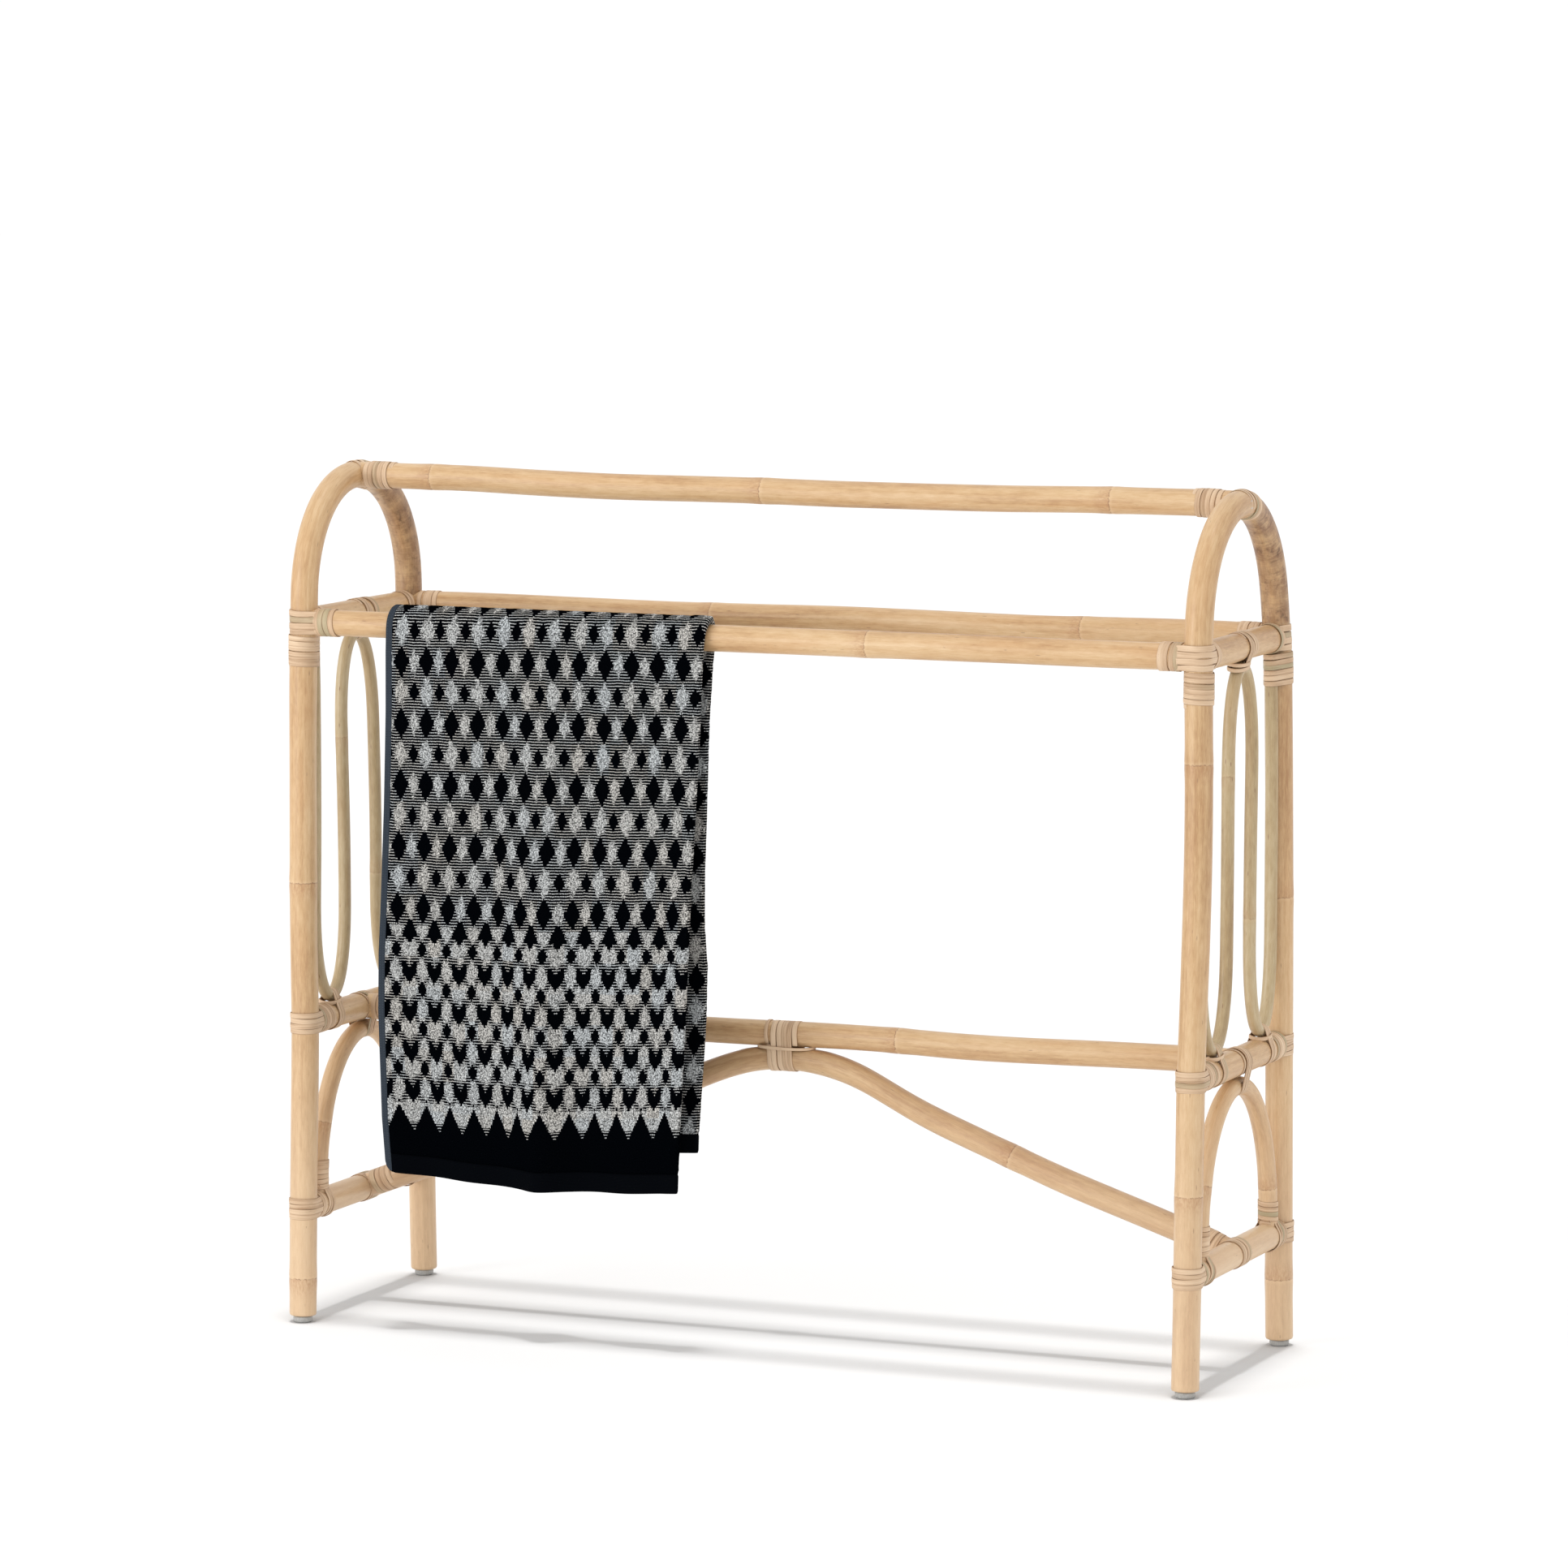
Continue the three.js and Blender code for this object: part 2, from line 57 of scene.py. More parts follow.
GAP = 0.0003  # between two poles that lie together
SIDES = {"left": -1, "right": 1}
ENDS = {"front": -1, "back": 1}
LEVELS = {"upper": RAIL_Z, "middle": MIDDLE_Z, "lower": LOWER_Z}
X, Y, Z = np.eye(3)

# The wave cane at each end of the rack.
INSET = (POLE + WAVE_CANE) / 2 + GAP  # from a leg's centre to the cane beside it
WAVE_LOW, WAVE_HIGH = MIDDLE_Z + INSET, RAIL_Z - INSET  # centres of its lowest and highest bends
WAVE_END = RAIL_Z - 0.022  # height of its two ends
WAVE_BEND = 0.090  # height of a bend
# How far the two middle strands lie from the middle, in front and behind, half way up.
WAVE_LEAN = {"left": (0.0385, 0.0325), "right": (0.0285, 0.0405)}

# The small arch on each lower side bar.
ARCH_FOOT_Y = FOOT_Y + LEG_SLOPE * LOWER_Z - 0.0346
ARCH_TOP = MIDDLE_Z - (POLE + FOOT_CANE) / 2 - GAP

# The brace: a round crest under the stretcher, and a straight arm to each side.
BRACE_TOP = MIDDLE_Z - (STRETCHER + BRACE) / 2 - GAP
CREST = 0.095  # half the crest's length
ARM_SLOPE = (BRACE_TOP - LOWER_Z) / (FRAME_X - CREST / 2)

STRIP = 0.0009  # thickness of a strip of peel
STRIP_STEPS = 40  # sections in one turn of a strip
HELD_POLE = (0.0, 0.0, POLE / 2 * 1.02)  # a pole inside a bundle, as a circle (x, y, radius)
LINE_STEP = 0.003


def leg_y(z):
    return FOOT_Y + LEG_SLOPE * z


def unit(v):
    return v / np.maximum(np.linalg.norm(v, axis=-1, keepdims=True), 1e-12)


def wobble(t, seed, scale):
    """Smooth noise of one variable, about -1 to 1."""
    return np.array([noise.noise(Vector((x * scale, seed * 7.31, 1.7 * seed))) for x in np.atleast_1d(t)]) * 1.6


def lengths(points):
    """The distance along some points, at each of them."""
    return np.concatenate([[0], np.cumsum(np.linalg.norm(np.diff(points, axis=0), axis=1))])


def sample(at, known, values):
    """Each column of values, read between the known places."""
    return np.stack([np.interp(at, known, column) for column in values.T], -1)


def full_turn(count):
    return np.linspace(0, 2 * math.pi, count, endpoint=False)


def around(angle, a, b):
    """Vectors at some angles, measured from a towards b."""
    return np.cos(angle)[:, None] * a + np.sin(angle)[:, None] * b


def ease(value, low, high):
    """0 below low, 1 above high, smooth between them."""
    t = np.clip((value - low) / (high - low), 0, 1)
    return t * t * (3 - 2 * t)


def curve(x, at, values):
    """A smooth curve through some values."""
    grid = np.linspace(-0.55, 0.55, 221)
    spread = np.exp(-((np.arange(-12, 13) / 5.0) ** 2) / 2)
    padded = np.pad(np.interp(grid, at, values), 12, mode="edge")
    return np.interp(x, grid, np.convolve(padded, spread / spread.sum(), "valid"))


def settle(co):
    """Bends the true shapes a little, as real cane does."""
    x, y, z = co.T
    co = co.copy()
    # The left arch leans out, most in front. The right arch leans in at the back.
    front = 1 - ease(y, -0.06, 0.12)
    co[:, 0] -= 0.0042 * ease(-x, 0.40, 0.47) * ease(z, 0.47, 0.75) * (0.25 + 0.75 * front)
    co[:, 0] -= 0.0036 * ease(x, 0.40, 0.47) * ease(z, 0.69, 0.78) * (1 - front)
    # The top rail's bow.
    at = [-0.5, -0.36, -0.29, -0.20, -0.10, -0.02, 0.06, 0.15, 0.235, 0.32, 0.42]
    rise = [0.0036, 0.003, 0.0, -0.0015, 0.0, 0.0, -0.0022, -0.003, -0.0025, 0.0, 0.0]
    co[:, 2] += curve(x, at, rise) * ease(z, 0.77, 0.85)
    # The brace's arms and the stretcher hang lower between their bindings.
    middle = (1 - ease(np.abs(y), 0.03, 0.045)) * (1 - ease(np.abs(x), 0.44, 0.465))
    at = [-0.46, -0.38, -0.30, -0.10, -0.06, -0.025, 0.085, 0.145, 0.30, 0.38, 0.46]
    arm = curve(x, at, [0, 0.003, 0.0095, 0.008, 0.0045, 0, 0, 0.0095, 0.0092, 0.004, 0])
    co[:, 2] -= arm * middle * (1 - ease(z, 0.294, 0.299))
    at = [-0.4, -0.05, 0.05, 0.12, 0.18, 0.24, 0.34, 0.44]
    sag = curve(x, at, [0.002, 0.0025, 0.0008, 0.001, 0.0033, 0.0033, 0.0015, 0])
    co[:, 2] -= sag * middle * ease(z, 0.2945, 0.2985) * (1 - ease(z, 0.40, 0.5))
    return co


class Line:
    """A pole's centre line at even steps, with a frame of directions along it."""

    def __init__(self, points, diameter, ref, soften=0, bend=0.0, seed=0):
        points = np.asarray(points, float)
        along = lengths(points)
        s = np.linspace(0, along[-1], max(3, round(along[-1] / LINE_STEP) + 1))
        p = sample(s, along, points)
        for _ in range(soften):
            p[1:-1] = (p[:-2] + 2 * p[1:-1] + p[2:]) / 4
        fade = np.minimum(1, np.minimum(s, s[-1] - s) / 0.05)[:, None]
        across = unit(np.cross(unit(np.gradient(p, axis=0)), ref))
        self.p = p + fade * bend * (wobble(s, seed, 5)[:, None] * across + wobble(s, seed + 3, 5)[:, None] * ref)
        self.radius = diameter / 2
        self.s = lengths(self.p)
        self.t = unit(np.gradient(self.p, axis=0))
        self.n = unit(ref - (self.t @ ref)[:, None] * self.t)
        self.b = np.cross(self.t, self.n)

    def at(self, s):
        """Points at distances s, which may lie a little past the ends, and the two directions across the pole."""
        p, t, n, b = (sample(s, self.s, a) for a in (self.p, self.t, self.n, self.b))
        past = np.clip(s - self.s[-1], 0, None) + np.clip(s, None, 0)
        return p + past[:, None] * unit(t), unit(n), unit(b)

    def near(self, point):
        """The distance along the line that is nearest to a point."""
        return self.s[np.argmin(np.linalg.norm(self.p - np.asarray(point, float), axis=1))]


# ---- meshes ----


class Sheets:
    """Collects grids of points into one mesh. Each point has its place in the grain (x and y across the fibres, z
    along them), its colour tone, its distance from a growth node (or from a strip's middle) and its scorch."""

    def __init__(self):
        self.co, self.faces, self.values = [], [], {"grain": [], "tone": [], "knot": [], "char": []}
        self.count = 0

    def put(self, co, faces, grain, tone=0.0, knot=1.0, char=0.0):
        n = len(co)
        self.co.append(co)
        self.faces += [tuple(int(i) + self.count for i in f) for f in faces]
        self.values["grain"].append(np.broadcast_to(grain, (n, 3)))
        for name, value in (("tone", tone), ("knot", knot), ("char", char)):
            self.values[name].append(np.broadcast_to(value, (n,)))
        self.count += n

    def piece(self, name, material, body="rack"):
        """Makes the mesh that stands for the CAD node of this name."""
        mesh = bpy.data.meshes.new(name)
        co = np.concatenate(self.co)
        mesh.from_pydata((settle(co) if body == "rack" else co).tolist(), [], self.faces)
        for key, parts in self.values.items():
            kind, field = ("FLOAT_VECTOR", "vector") if key == "grain" else ("FLOAT", "value")
            attribute = mesh.attributes.new(key, kind, "POINT")
            attribute.data.foreach_set(field, np.concatenate(parts).astype(np.float32).ravel())
        mesh.polygons.foreach_set("use_smooth", [True] * len(mesh.polygons))
        mesh.update()
        mesh.materials.append(material)
        obj = bpy.data.objects.new(name + "_shape", mesh)
        bpy.context.scene.collection.objects.link(obj)
        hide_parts(name)
        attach(obj, body)
        return obj


def tube_faces(rings, sides, closed=False):
    """Faces between rings of points, with an end cap on each open end."""
    faces = []
    for i in range(rings if closed else rings - 1):
        a, b = i * sides, ((i + 1) % rings) * sides
        faces += [(a + j, a + (j + 1) % sides, b + (j + 1) % sides, b + j) for j in range(sides)]
    if not closed:
        faces += [tuple(range(sides))[::-1], tuple(range((rings - 1) * sides, rings * sides))]
    return faces


def spread_out(shape, *parts):
    """Some values spread over a grid, side by side in rows of one number for each part."""
    return np.stack([np.broadcast_to(part, shape) for part in parts], -1).reshape(-1, len(parts))


# A strip's section: across it, and out from the pole.
SECTION_X = np.array([-0.5, -0.5, -0.43, -0.2, 0.2, 0.43, 0.5, 0.5])
SECTION_UP = np.array([-0.5, 0.12, 0.40, 0.5, 0.5, 0.40, 0.12, -0.5])


def strip(sheets, points, out, width, tone, seed, thick=STRIP, closed=False):
    """A flat strip of peel along points, its crowned face towards out."""
    t = np.roll(points, -1, 0) - np.roll(points, 1, 0) if closed else np.gradient(points, axis=0)
    t = unit(t)
    side = unit(np.cross(t, out))
    up = np.cross(side, t)
    s = lengths(points)
    w = width * (1 + 0.07 * wobble(s, seed, 30))
    co = points[:, None] + side[:, None] * (SECTION_X[None, :, None] * w[:, None, None])
    co = co + up[:, None] * (SECTION_UP * thick)[None, :, None]
    shape = co.shape[:2]
    grain = spread_out(shape, SECTION_X * width, SECTION_UP * thick, s[:, None] + seed * 0.73)
    tone, edge = spread_out(shape, np.reshape(tone, (-1, 1)), np.abs(SECTION_X) * 2).T
    sheets.put(co.reshape(-1, 3), tube_faces(*shape, closed), grain, tone, edge)


def tuck(turn, turns, over):
    """How far the first and last parts of a strip dip under their neighbours."""
    return 0.0012 * np.clip(1 - np.minimum(turn, turns - turn) / over, 0, 1)


def wind(sheets, line, start, end, turns, phase=0.0, lift=0.0, seed=0, width=None, way=1):
    """A strip wound round a pole from one distance along it to another."""
    k = np.linspace(0, 1, int(turns * STRIP_STEPS) + 1)
    turn = k * turns
    pitch = (end - start) / turns
    p, n, b = line.at(start + (end - start) * k + 0.16 * pitch * wobble(turn, seed + 1, 1.1))
    out = around(phase + way * 2 * math.pi * turn, n, b)
    r = line.radius * 1.008 + STRIP / 2 + lift + 0.00015 * wobble(turn, seed + 2, 2.1) - tuck(turn, turns, 0.22)
    strip(sheets, p + out * r[:, None], out, width or abs(pitch), wobble(turn, seed + 5, 0.55), seed)


def wind_from_leg(sheets, line, sign, gap, length, turns, seed, **more):
    """Winds a pole from just past the leg at its left or front end (sign -1) or its other end, inwards."""
    end, way = (0.0, 1) if sign < 0 else (line.s[-1], -1)
    start = end + way * gap
    wind(sheets, line, start, start + way * length, turns, seed=seed, **more)


def hull(circles, count=72):
    """Points evenly round the convex hull of some circles (x, y, radius), with the outward directions."""
    circles = np.array(circles)
    centre, radius = circles[:, :2], circles[:, 2]
    way = around(full_turn(400), *np.eye(2))
    best = np.argmax(way @ centre.T + radius, 1)
    points = centre[best] + radius[best][:, None] * way
    loop = np.vstack([points, points[:1]])
    s = lengths(loop)
    points = sample(np.linspace(0, s[-1], count, endpoint=False), s, loop)
    t = unit(np.roll(points, -1, 0) - np.roll(points, 1, 0))
    return points, np.stack([t[:, 1], -t[:, 0]], 1)


def bundle(sheets, origin, a, b, axis, circles, start, end, turns, phase, seed, width=None):
    """A strip wound round several poles together. The circles lie in the plane of a and b; the turns advance along
    axis, from start to end."""
    loop, away = hull([(x, y, r + STRIP / 2) for x, y, r in circles])
    m = len(loop)
    k = np.arange(int(turns * m) + 1)
    index = (k + int(phase * m)) % m
    turn = k / m
    pitch = (end - start) / turns
    along = start + (end - start) * turn / turns + 0.1 * pitch * wobble(turn, seed + 1, 1.4)
    plane = np.stack([a, b])
    out = away[index] @ plane
    p = origin + loop[index] @ plane + along[:, None] * axis
    p = p + out * (0.00015 * wobble(turn, seed + 2, 2.1) - tuck(turn, turns, 0.15))[:, None]
    strip(sheets, p, out, width or abs(pitch), wobble(turn, seed + 5, 0.55), seed)


def band(sheets, centre, first, last, start_out, turn, height, seed):
    """Four strips laid flat round a leg, each running on along the poles at both ends of its arc. first and last
    say how far and which way the two tails run; the arc turns round the leg from start_out."""
    count, steps, tail_steps, radius = 4, 40, 14, POLE / 2
    out = around(np.linspace(0, turn, steps), start_out, np.cross(Z, start_out))
    tail = np.linspace(1, 0.06, tail_steps)[:, None]
    facing = np.vstack([np.repeat(out[:1], tail_steps, 0), out, np.repeat(out[-1:], tail_steps, 0)])
    for k in range(count):
        offset = (k + 0.5) / count * height - height / 2
        drop = radius - math.sqrt(radius**2 - offset**2)
        dip = drop * ease(tail, 0, 1) + 0.0014 * np.clip(tail - 0.7, 0, 1) / 0.3
        arc = out * (radius + STRIP * (0.6 + 0.35 * (k % 2)))
        head = arc[0] + tail * first - dip * out[0]
        rear = (arc[-1] + tail * last - dip * out[-1])[::-1]
        points = np.vstack([head, arc, rear]) + centre + Z * (offset + 0.0004 * wobble([k], seed, 5)[0])
        points = points + Z * (0.0005 * wobble(np.linspace(0, 1, len(points)), seed + k, 3))[:, None]
        tilt = np.vstack([tail, np.zeros((steps, 1)), tail[::-1]]) * offset / radius
        tone = wobble([k], seed + 9, 4)[0]
        strip(sheets, points, unit(facing + tilt * Z), height / count * 1.02, tone, seed + k)


def collar(sheets, centre, a, b, half_a, half_b, seed, width, tilt=0.0):
    """One strand round a bundle, pulled tight between two poles."""
    angle = full_turn(60)
    out = around(angle, a * half_b, b * half_a)
    p = centre + around(angle, a * half_a, b * half_b)
    p = p + Z * (tilt * np.cos(angle) + 0.0006 * np.sin(2 * angle))[:, None]
    strip(sheets, p, unit(out), width, 0.6, seed, thick=0.0016, closed=True)


# ---- material graphs ----


class Graph:
    """Builds a node material in short steps."""

    def __init__(self, name):
        self.material = bpy.data.materials.new(name)
        self.material.use_nodes = True
        self.tree = self.material.node_tree
        self.shader = self.tree.nodes["Principled BSDF"]

    def node(self, kind, inputs=(), **settings):
        n = self.tree.nodes.new(kind)
        for key, value in settings.items():
            setattr(n, key, value)
        for key, value in dict(inputs).items():
            self.feed(n.inputs[key], value)
        return n

    def feed(self, socket, value):
        if isinstance(value, bpy.types.NodeSocket):
            self.tree.links.new(value, socket)
        elif value is not None:
            socket.default_value = value

    def math(self, operation, *values):
        return self.node("ShaderNodeMath", enumerate(values), operation=operation).outputs[0]

    def fold(self, operation, total, *values):
        for value in values:
            total = self.math(operation, total, value)
        return total

    def add(self, *values):
        return self.fold("ADD", *values)

    def mul(self, *values):
        return self.fold("MULTIPLY", *values)

    def either(self, *values):
        return self.fold("MAXIMUM", *values)

    def less(self, a, b):
        return self.math("LESS_THAN", a, b)

    def more(self, a, b):
        return self.math("GREATER_THAN", a, b)

    def inverse(self, a):
        return self.math("SUBTRACT", 1.0, a)

    def absolute(self, a):
        return self.math("ABSOLUTE", a)

    def signed(self, a):
        """The distance from the nearest whole number, -0.5 to 0.5."""
        return self.add(self.math("FRACT", self.add(a, 0.5)), -0.5)

    def attribute(self, name, output="Fac"):
        return self.node("ShaderNodeAttribute", attribute_name=name).outputs[output]

    def place(self):
        return self.node("ShaderNodeTexCoord").outputs["Object"]

    def parts(self, vector):
        return self.node("ShaderNodeSeparateXYZ", {0: vector}).outputs

    def pattern(self, kind, output, vector, scale, **inputs):
        scaled = self.node("ShaderNodeVectorMath", {0: vector, 1: scale}, operation="MULTIPLY").outputs[0]
        return self.node(kind, {"Vector": scaled, "Scale": 1.0, **inputs}).outputs[output]

    def noise(self, vector, scale, detail=2.0, rough=0.5):
        return self.pattern("ShaderNodeTexNoise", "Fac", vector, scale, Detail=detail, Roughness=rough)

    def cells(self, vector, scale):
        return self.pattern("ShaderNodeTexVoronoi", "Distance", vector, scale)

    def ramp(self, value, *stops):
        n = self.node("ShaderNodeValToRGB", {"Fac": value})
        elements = n.color_ramp.elements
        while len(elements) < len(stops):
            elements.new(0.5)
        for e, (at, colour) in zip(elements, stops):
            e.position = at
            e.color = (*colour, 1)
        return n.outputs[0]

    def span(self, value, low, high, to_low=0.0, to_high=1.0, smooth=False):
        kind = "SMOOTHSTEP" if smooth else "LINEAR"
        inputs = enumerate((value, low, high, to_low, to_high))
        return self.node("ShaderNodeMapRange", inputs, interpolation_type=kind, clamp=True).outputs[0]

    def mix(self, factor, a, b, blend="MIX"):
        inputs = {0: factor, 6: a, 7: b}
        inputs = {key: (*value, 1) if isinstance(value, tuple) else value for key, value in inputs.items()}
        return self.node("ShaderNodeMix", inputs, data_type="RGBA", blend_type=blend, clamp_factor=True).outputs[2]

    def bump(self, height, distance, strength):
        inputs = {"Height": height, "Distance": distance, "Strength": strength}
        return self.node("ShaderNodeBump", inputs).outputs[0]

    def finish(self, colour, roughness, normal=None, **fixed):
        for key, value in (("Base Color", colour), ("Roughness", roughness), ("Normal", normal)):
            self.feed(self.shader.inputs[key], value)
        for key, value in fixed.items():
            self.shader.inputs[key.replace("_", " ")].default_value = value
        return self.material


def rattan(name, dark, mid, light, node_depth=1.0, specks=0.5):
    """Peeled cane: long fine fibres, slow colour drift, and a scar with a brown fade at each growth node."""
    g = Graph(name)
    grain = g.attribute("grain", "Vector")
    tone, knot, char = (g.attribute(key) for key in ("tone", "knot", "char"))
    fine = g.noise(grain, (2500, 2500, 90), 3, 0.65)
    streak = g.noise(grain, (330, 330, 5.5))
    drift = g.noise(grain, (45, 45, 4), 3, 0.55)
    blush = g.noise(grain, (60, 60, 9))
    cloud = g.noise(grain, (210, 210, 60), 3, 0.6)
    value = g.add(g.mul(fine, 0.62), g.mul(streak, 0.34), g.mul(drift, 0.80), g.mul(cloud, 0.36))
    value = g.add(value, g.mul(tone, 0.08), -0.56)
    colour = g.ramp(value, (0.22, dark), (0.5, mid), (0.78, light))
    colour = g.mix(g.span(blush, 0.47, 0.75, 0, 0.30), colour, (0.80, 0.56, 0.36), "MULTIPLY")
    # The colour turns paler and pinker towards the floor.
    above = g.parts(g.place())["Z"]
    colour = g.mix(g.span(above, 0.04, 0.40, 0.42, 0.0, True), colour, (0.75, 0.56, 0.38))
    # Growth nodes: knot is the signed distance from the nearest one.
    ragged = g.add(knot, g.mul(g.add(g.noise(grain, (420, 420, 60)), -0.5), 0.0035))
    broken = g.span(g.noise(grain, (260, 260, 30)), 0.36, 0.56, 0.15, 1)
    scar = g.mul(g.span(g.absolute(ragged), 0.0002, 0.0009, 1, 0, True), broken)
    below = g.mul(g.span(ragged, -0.024, -0.0008, 0, 1, True), g.less(ragged, 0.0))
    pale = g.mul(g.span(ragged, 0.0006, 0.005, 1, 0, True), g.more(ragged, 0.0))
    mottle = g.span(g.noise(grain, (700, 700, 240), 3), 0.3, 0.65)
    colour = g.mix(g.mul(below, mottle, 0.55 * node_depth), colour, (0.40, 0.19, 0.085))
    colour = g.mix(g.mul(pale, 0.28 * node_depth), colour, (0.76, 0.55, 0.33))
    scar_depth = g.mul(scar, 0.72 * node_depth, g.span(mottle, 0, 1, 0.45, 1))
    colour = g.mix(scar_depth, colour, (0.22, 0.10, 0.045))
    # Small dark specks and dashes.
    dots = g.span(g.cells(grain, (210, 210, 42)), 0.06, 0.14, 1, 0)
    speck = g.mul(dots, g.more(g.noise(grain, (60, 60, 30)), 0.53))
    colour = g.mix(g.mul(speck, specks), colour, (0.24, 0.13, 0.07))
    # Scorch from bending: a brown toast, and darker blots and cracks in it.
    patch = g.noise(grain, (90, 90, 60), 5, 0.65)
    rings = g.noise(grain, (70, 70, 420), 3, 0.6)
    toast = g.mul(char, g.span(g.add(g.mul(patch, 0.7), g.mul(rings, 0.3)), 0.30, 0.56))
    colour = g.mix(g.mul(toast, 0.88), colour, (0.205, 0.090, 0.036))
    blot = g.noise(grain, (150, 150, 120), 4, 0.6)
    crack = g.noise(grain, (130, 130, 900), 3, 0.55)
    dark_spots = g.either(g.span(blot, 0.55, 0.70), g.mul(g.span(crack, 0.60, 0.70), 0.8))
    burn = g.mul(g.math("POWER", char, 1.4), dark_spots)
    colour = g.mix(g.mul(burn, 0.80), colour, (0.085, 0.040, 0.018))
    height = g.add(g.mul(fine, 0.6), g.mul(streak, 0.35), g.mul(cloud, 0.3), g.mul(scar, -1.0), g.mul(burn, -0.6))
    rough = g.add(g.span(fine, 0.3, 0.7, 0.36, 0.50), g.mul(burn, 0.15))
    return g.finish(colour, rough, g.bump(height, 0.00022, 0.55), Coat_Weight=0.12, Coat_Roughness=0.28)


def peel_material():
    """Split peel: pinkish beige, fibrous along the strip, darker at its edges, and here and there green."""
    g = Graph("rattan_peel")
    grain, tone, edge = g.attribute("grain", "Vector"), g.attribute("tone"), g.attribute("knot")
    fine = g.noise(grain, (1900, 1900, 45), 3, 0.6)
    streak = g.noise(grain, (700, 700, 12))
    drift = g.noise(grain, (80, 80, 22))
    value = g.add(g.mul(fine, 0.45), g.mul(streak, 0.6), g.mul(drift, 0.55), g.mul(tone, 0.20), -0.30)
    colour = g.ramp(value, (0.2, (0.36, 0.21, 0.11)), (0.5, (0.60, 0.415, 0.26)), (0.8, (0.74, 0.55, 0.37)))
    green = g.mix(fine, (0.25, 0.21, 0.11), (0.55, 0.48, 0.30))
    colour = g.mix(g.span(tone, -0.45, -0.75, 0, 0.75), colour, green)
    rim = g.span(edge, 0.78, 1.0, 0, 1, True)
    colour = g.mix(g.mul(rim, 0.62), colour, (0.27, 0.145, 0.072))
    dirt = g.span(g.noise(grain, (500, 500, 110), 3), 0.62, 0.75)
    colour = g.mix(g.mul(dirt, 0.4), colour, (0.32, 0.19, 0.10))
    normal = g.bump(g.add(g.mul(fine, 0.7), g.mul(streak, 0.6)), 0.00018, 0.6)
    return g.finish(colour, g.span(fine, 0.3, 0.7, 0.48, 0.62), normal)


POLE_MATERIAL = rattan("rattan_pole", (0.40, 0.215, 0.092), (0.595, 0.385, 0.195), (0.71, 0.51, 0.30))
CANE_MATERIAL = rattan("rattan_cane", (0.30, 0.20, 0.095), (0.455, 0.34, 0.185), (0.58, 0.475, 0.30), 0.5, 0.8)
PEEL_MATERIAL = peel_material()


# ---- the lines of the rack ----


def frame_line(side):
    """One long pole: up the front leg, round the arch and down the back leg."""
    sign = SIDES[side]
    low = np.linspace(LEG_END, SPRING_Z, 80)
    angle = np.linspace(-math.pi / 2, math.pi / 2, 90)[1:-1]
    y = np.concatenate([-leg_y(low), ARCH_R * np.sin(angle), leg_y(low[::-1])])
    z = np.concatenate([low, SPRING_Z + ARCH_R * np.cos(angle), low[::-1]])
    bow = np.sin(math.pi * np.clip((z - MIDDLE_Z) / (RAIL_Z - MIDDLE_Z), 0, 1))
    x = sign * (FRAME_X + np.where(y < 0, 0.0035 if side == "right" else 0.003, 0.001) * bow)
    return Line(np.stack([x, y, z], 1), POLE, X, soften=12, bend=0.0005, seed=sign + 5)


def rail_line(y, z, diameter, seed, bend=0.0012):
    reach = FRAME_X - 0.004
    return Line([(-reach, y, z), (reach, y, z)], diameter, Y, bend=bend, seed=seed)


def bar_line(side, z, seed):
    reach = leg_y(z) - 0.006
    x = SIDES[side] * FRAME_X
    return Line([(x, -reach, z), (x, reach, z)], POLE, X, bend=0.0004, seed=seed)


def wave_line(side):
    """A thin cane bent into an M: down beside one leg, up, over, down and up beside the other leg."""
    x = SIDES[side] * FRAME_X
    front, back = WAVE_LEAN[side]
    low, high = WAVE_LOW + WAVE_BEND, WAVE_HIGH - WAVE_BEND
    end, outer = leg_y(WAVE_END) - INSET, leg_y(low) - INSET

    def bend(a, b, z, height):
        """A half ellipse from a to b."""
        angle = np.linspace(0, math.pi, 40)
        return [((a + b) / 2 - (b - a) / 2 * math.cos(t), z + height * math.sin(t)) for t in angle]

    def build(down, up):
        points = [(-end, WAVE_END), *bend(-outer, -front, low, -WAVE_BEND - down)]
        points += bend(-front * 0.98, back * 0.98, high, WAVE_BEND + up)
        points += [*bend(back, outer, low, -WAVE_BEND - down), (end, WAVE_END)]
        points = [(x, y, z) for y, z in points]
        return Line(points, WAVE_CANE, X, soften=40, bend=0.0009, seed=3 + SIDES[side])

    # Softening the line draws its bends in, so they are drawn longer to reach the bars again.
    line = build(0, 0)
    middle = np.abs(line.p[:, 1]) < 0.03
    return build(line.p[:, 2].min() - WAVE_LOW, WAVE_HIGH - line.p[middle, 2].max())


def foot_arch_line(side):
    x = SIDES[side] * FRAME_X
    foot, spring = LOWER_Z + 0.008, LOWER_Z + 0.021
    angle = np.linspace(0, math.pi, 60)
    arch = [(x, -ARCH_FOOT_Y * math.cos(t), spring + (ARCH_TOP - spring) * math.sin(t)) for t in angle]
    points = [(x, -ARCH_FOOT_Y, foot), *arch, (x, ARCH_FOOT_Y, foot)]
    return Line(points, FOOT_CANE, X, soften=20, bend=0.0006, seed=9 + SIDES[side])


def brace_line():
    x = np.linspace(-FRAME_X + 0.004, FRAME_X - 0.004, 240)
    arm = LOWER_Z + ARM_SLOPE * (FRAME_X - np.abs(x))
    z = np.where(np.abs(x) > CREST, arm, BRACE_TOP - ARM_SLOPE * x * x / (2 * CREST))
    return Line(np.stack([x, 0 * x, z], 1), BRACE, Y, soften=30, bend=0.001, seed=25)


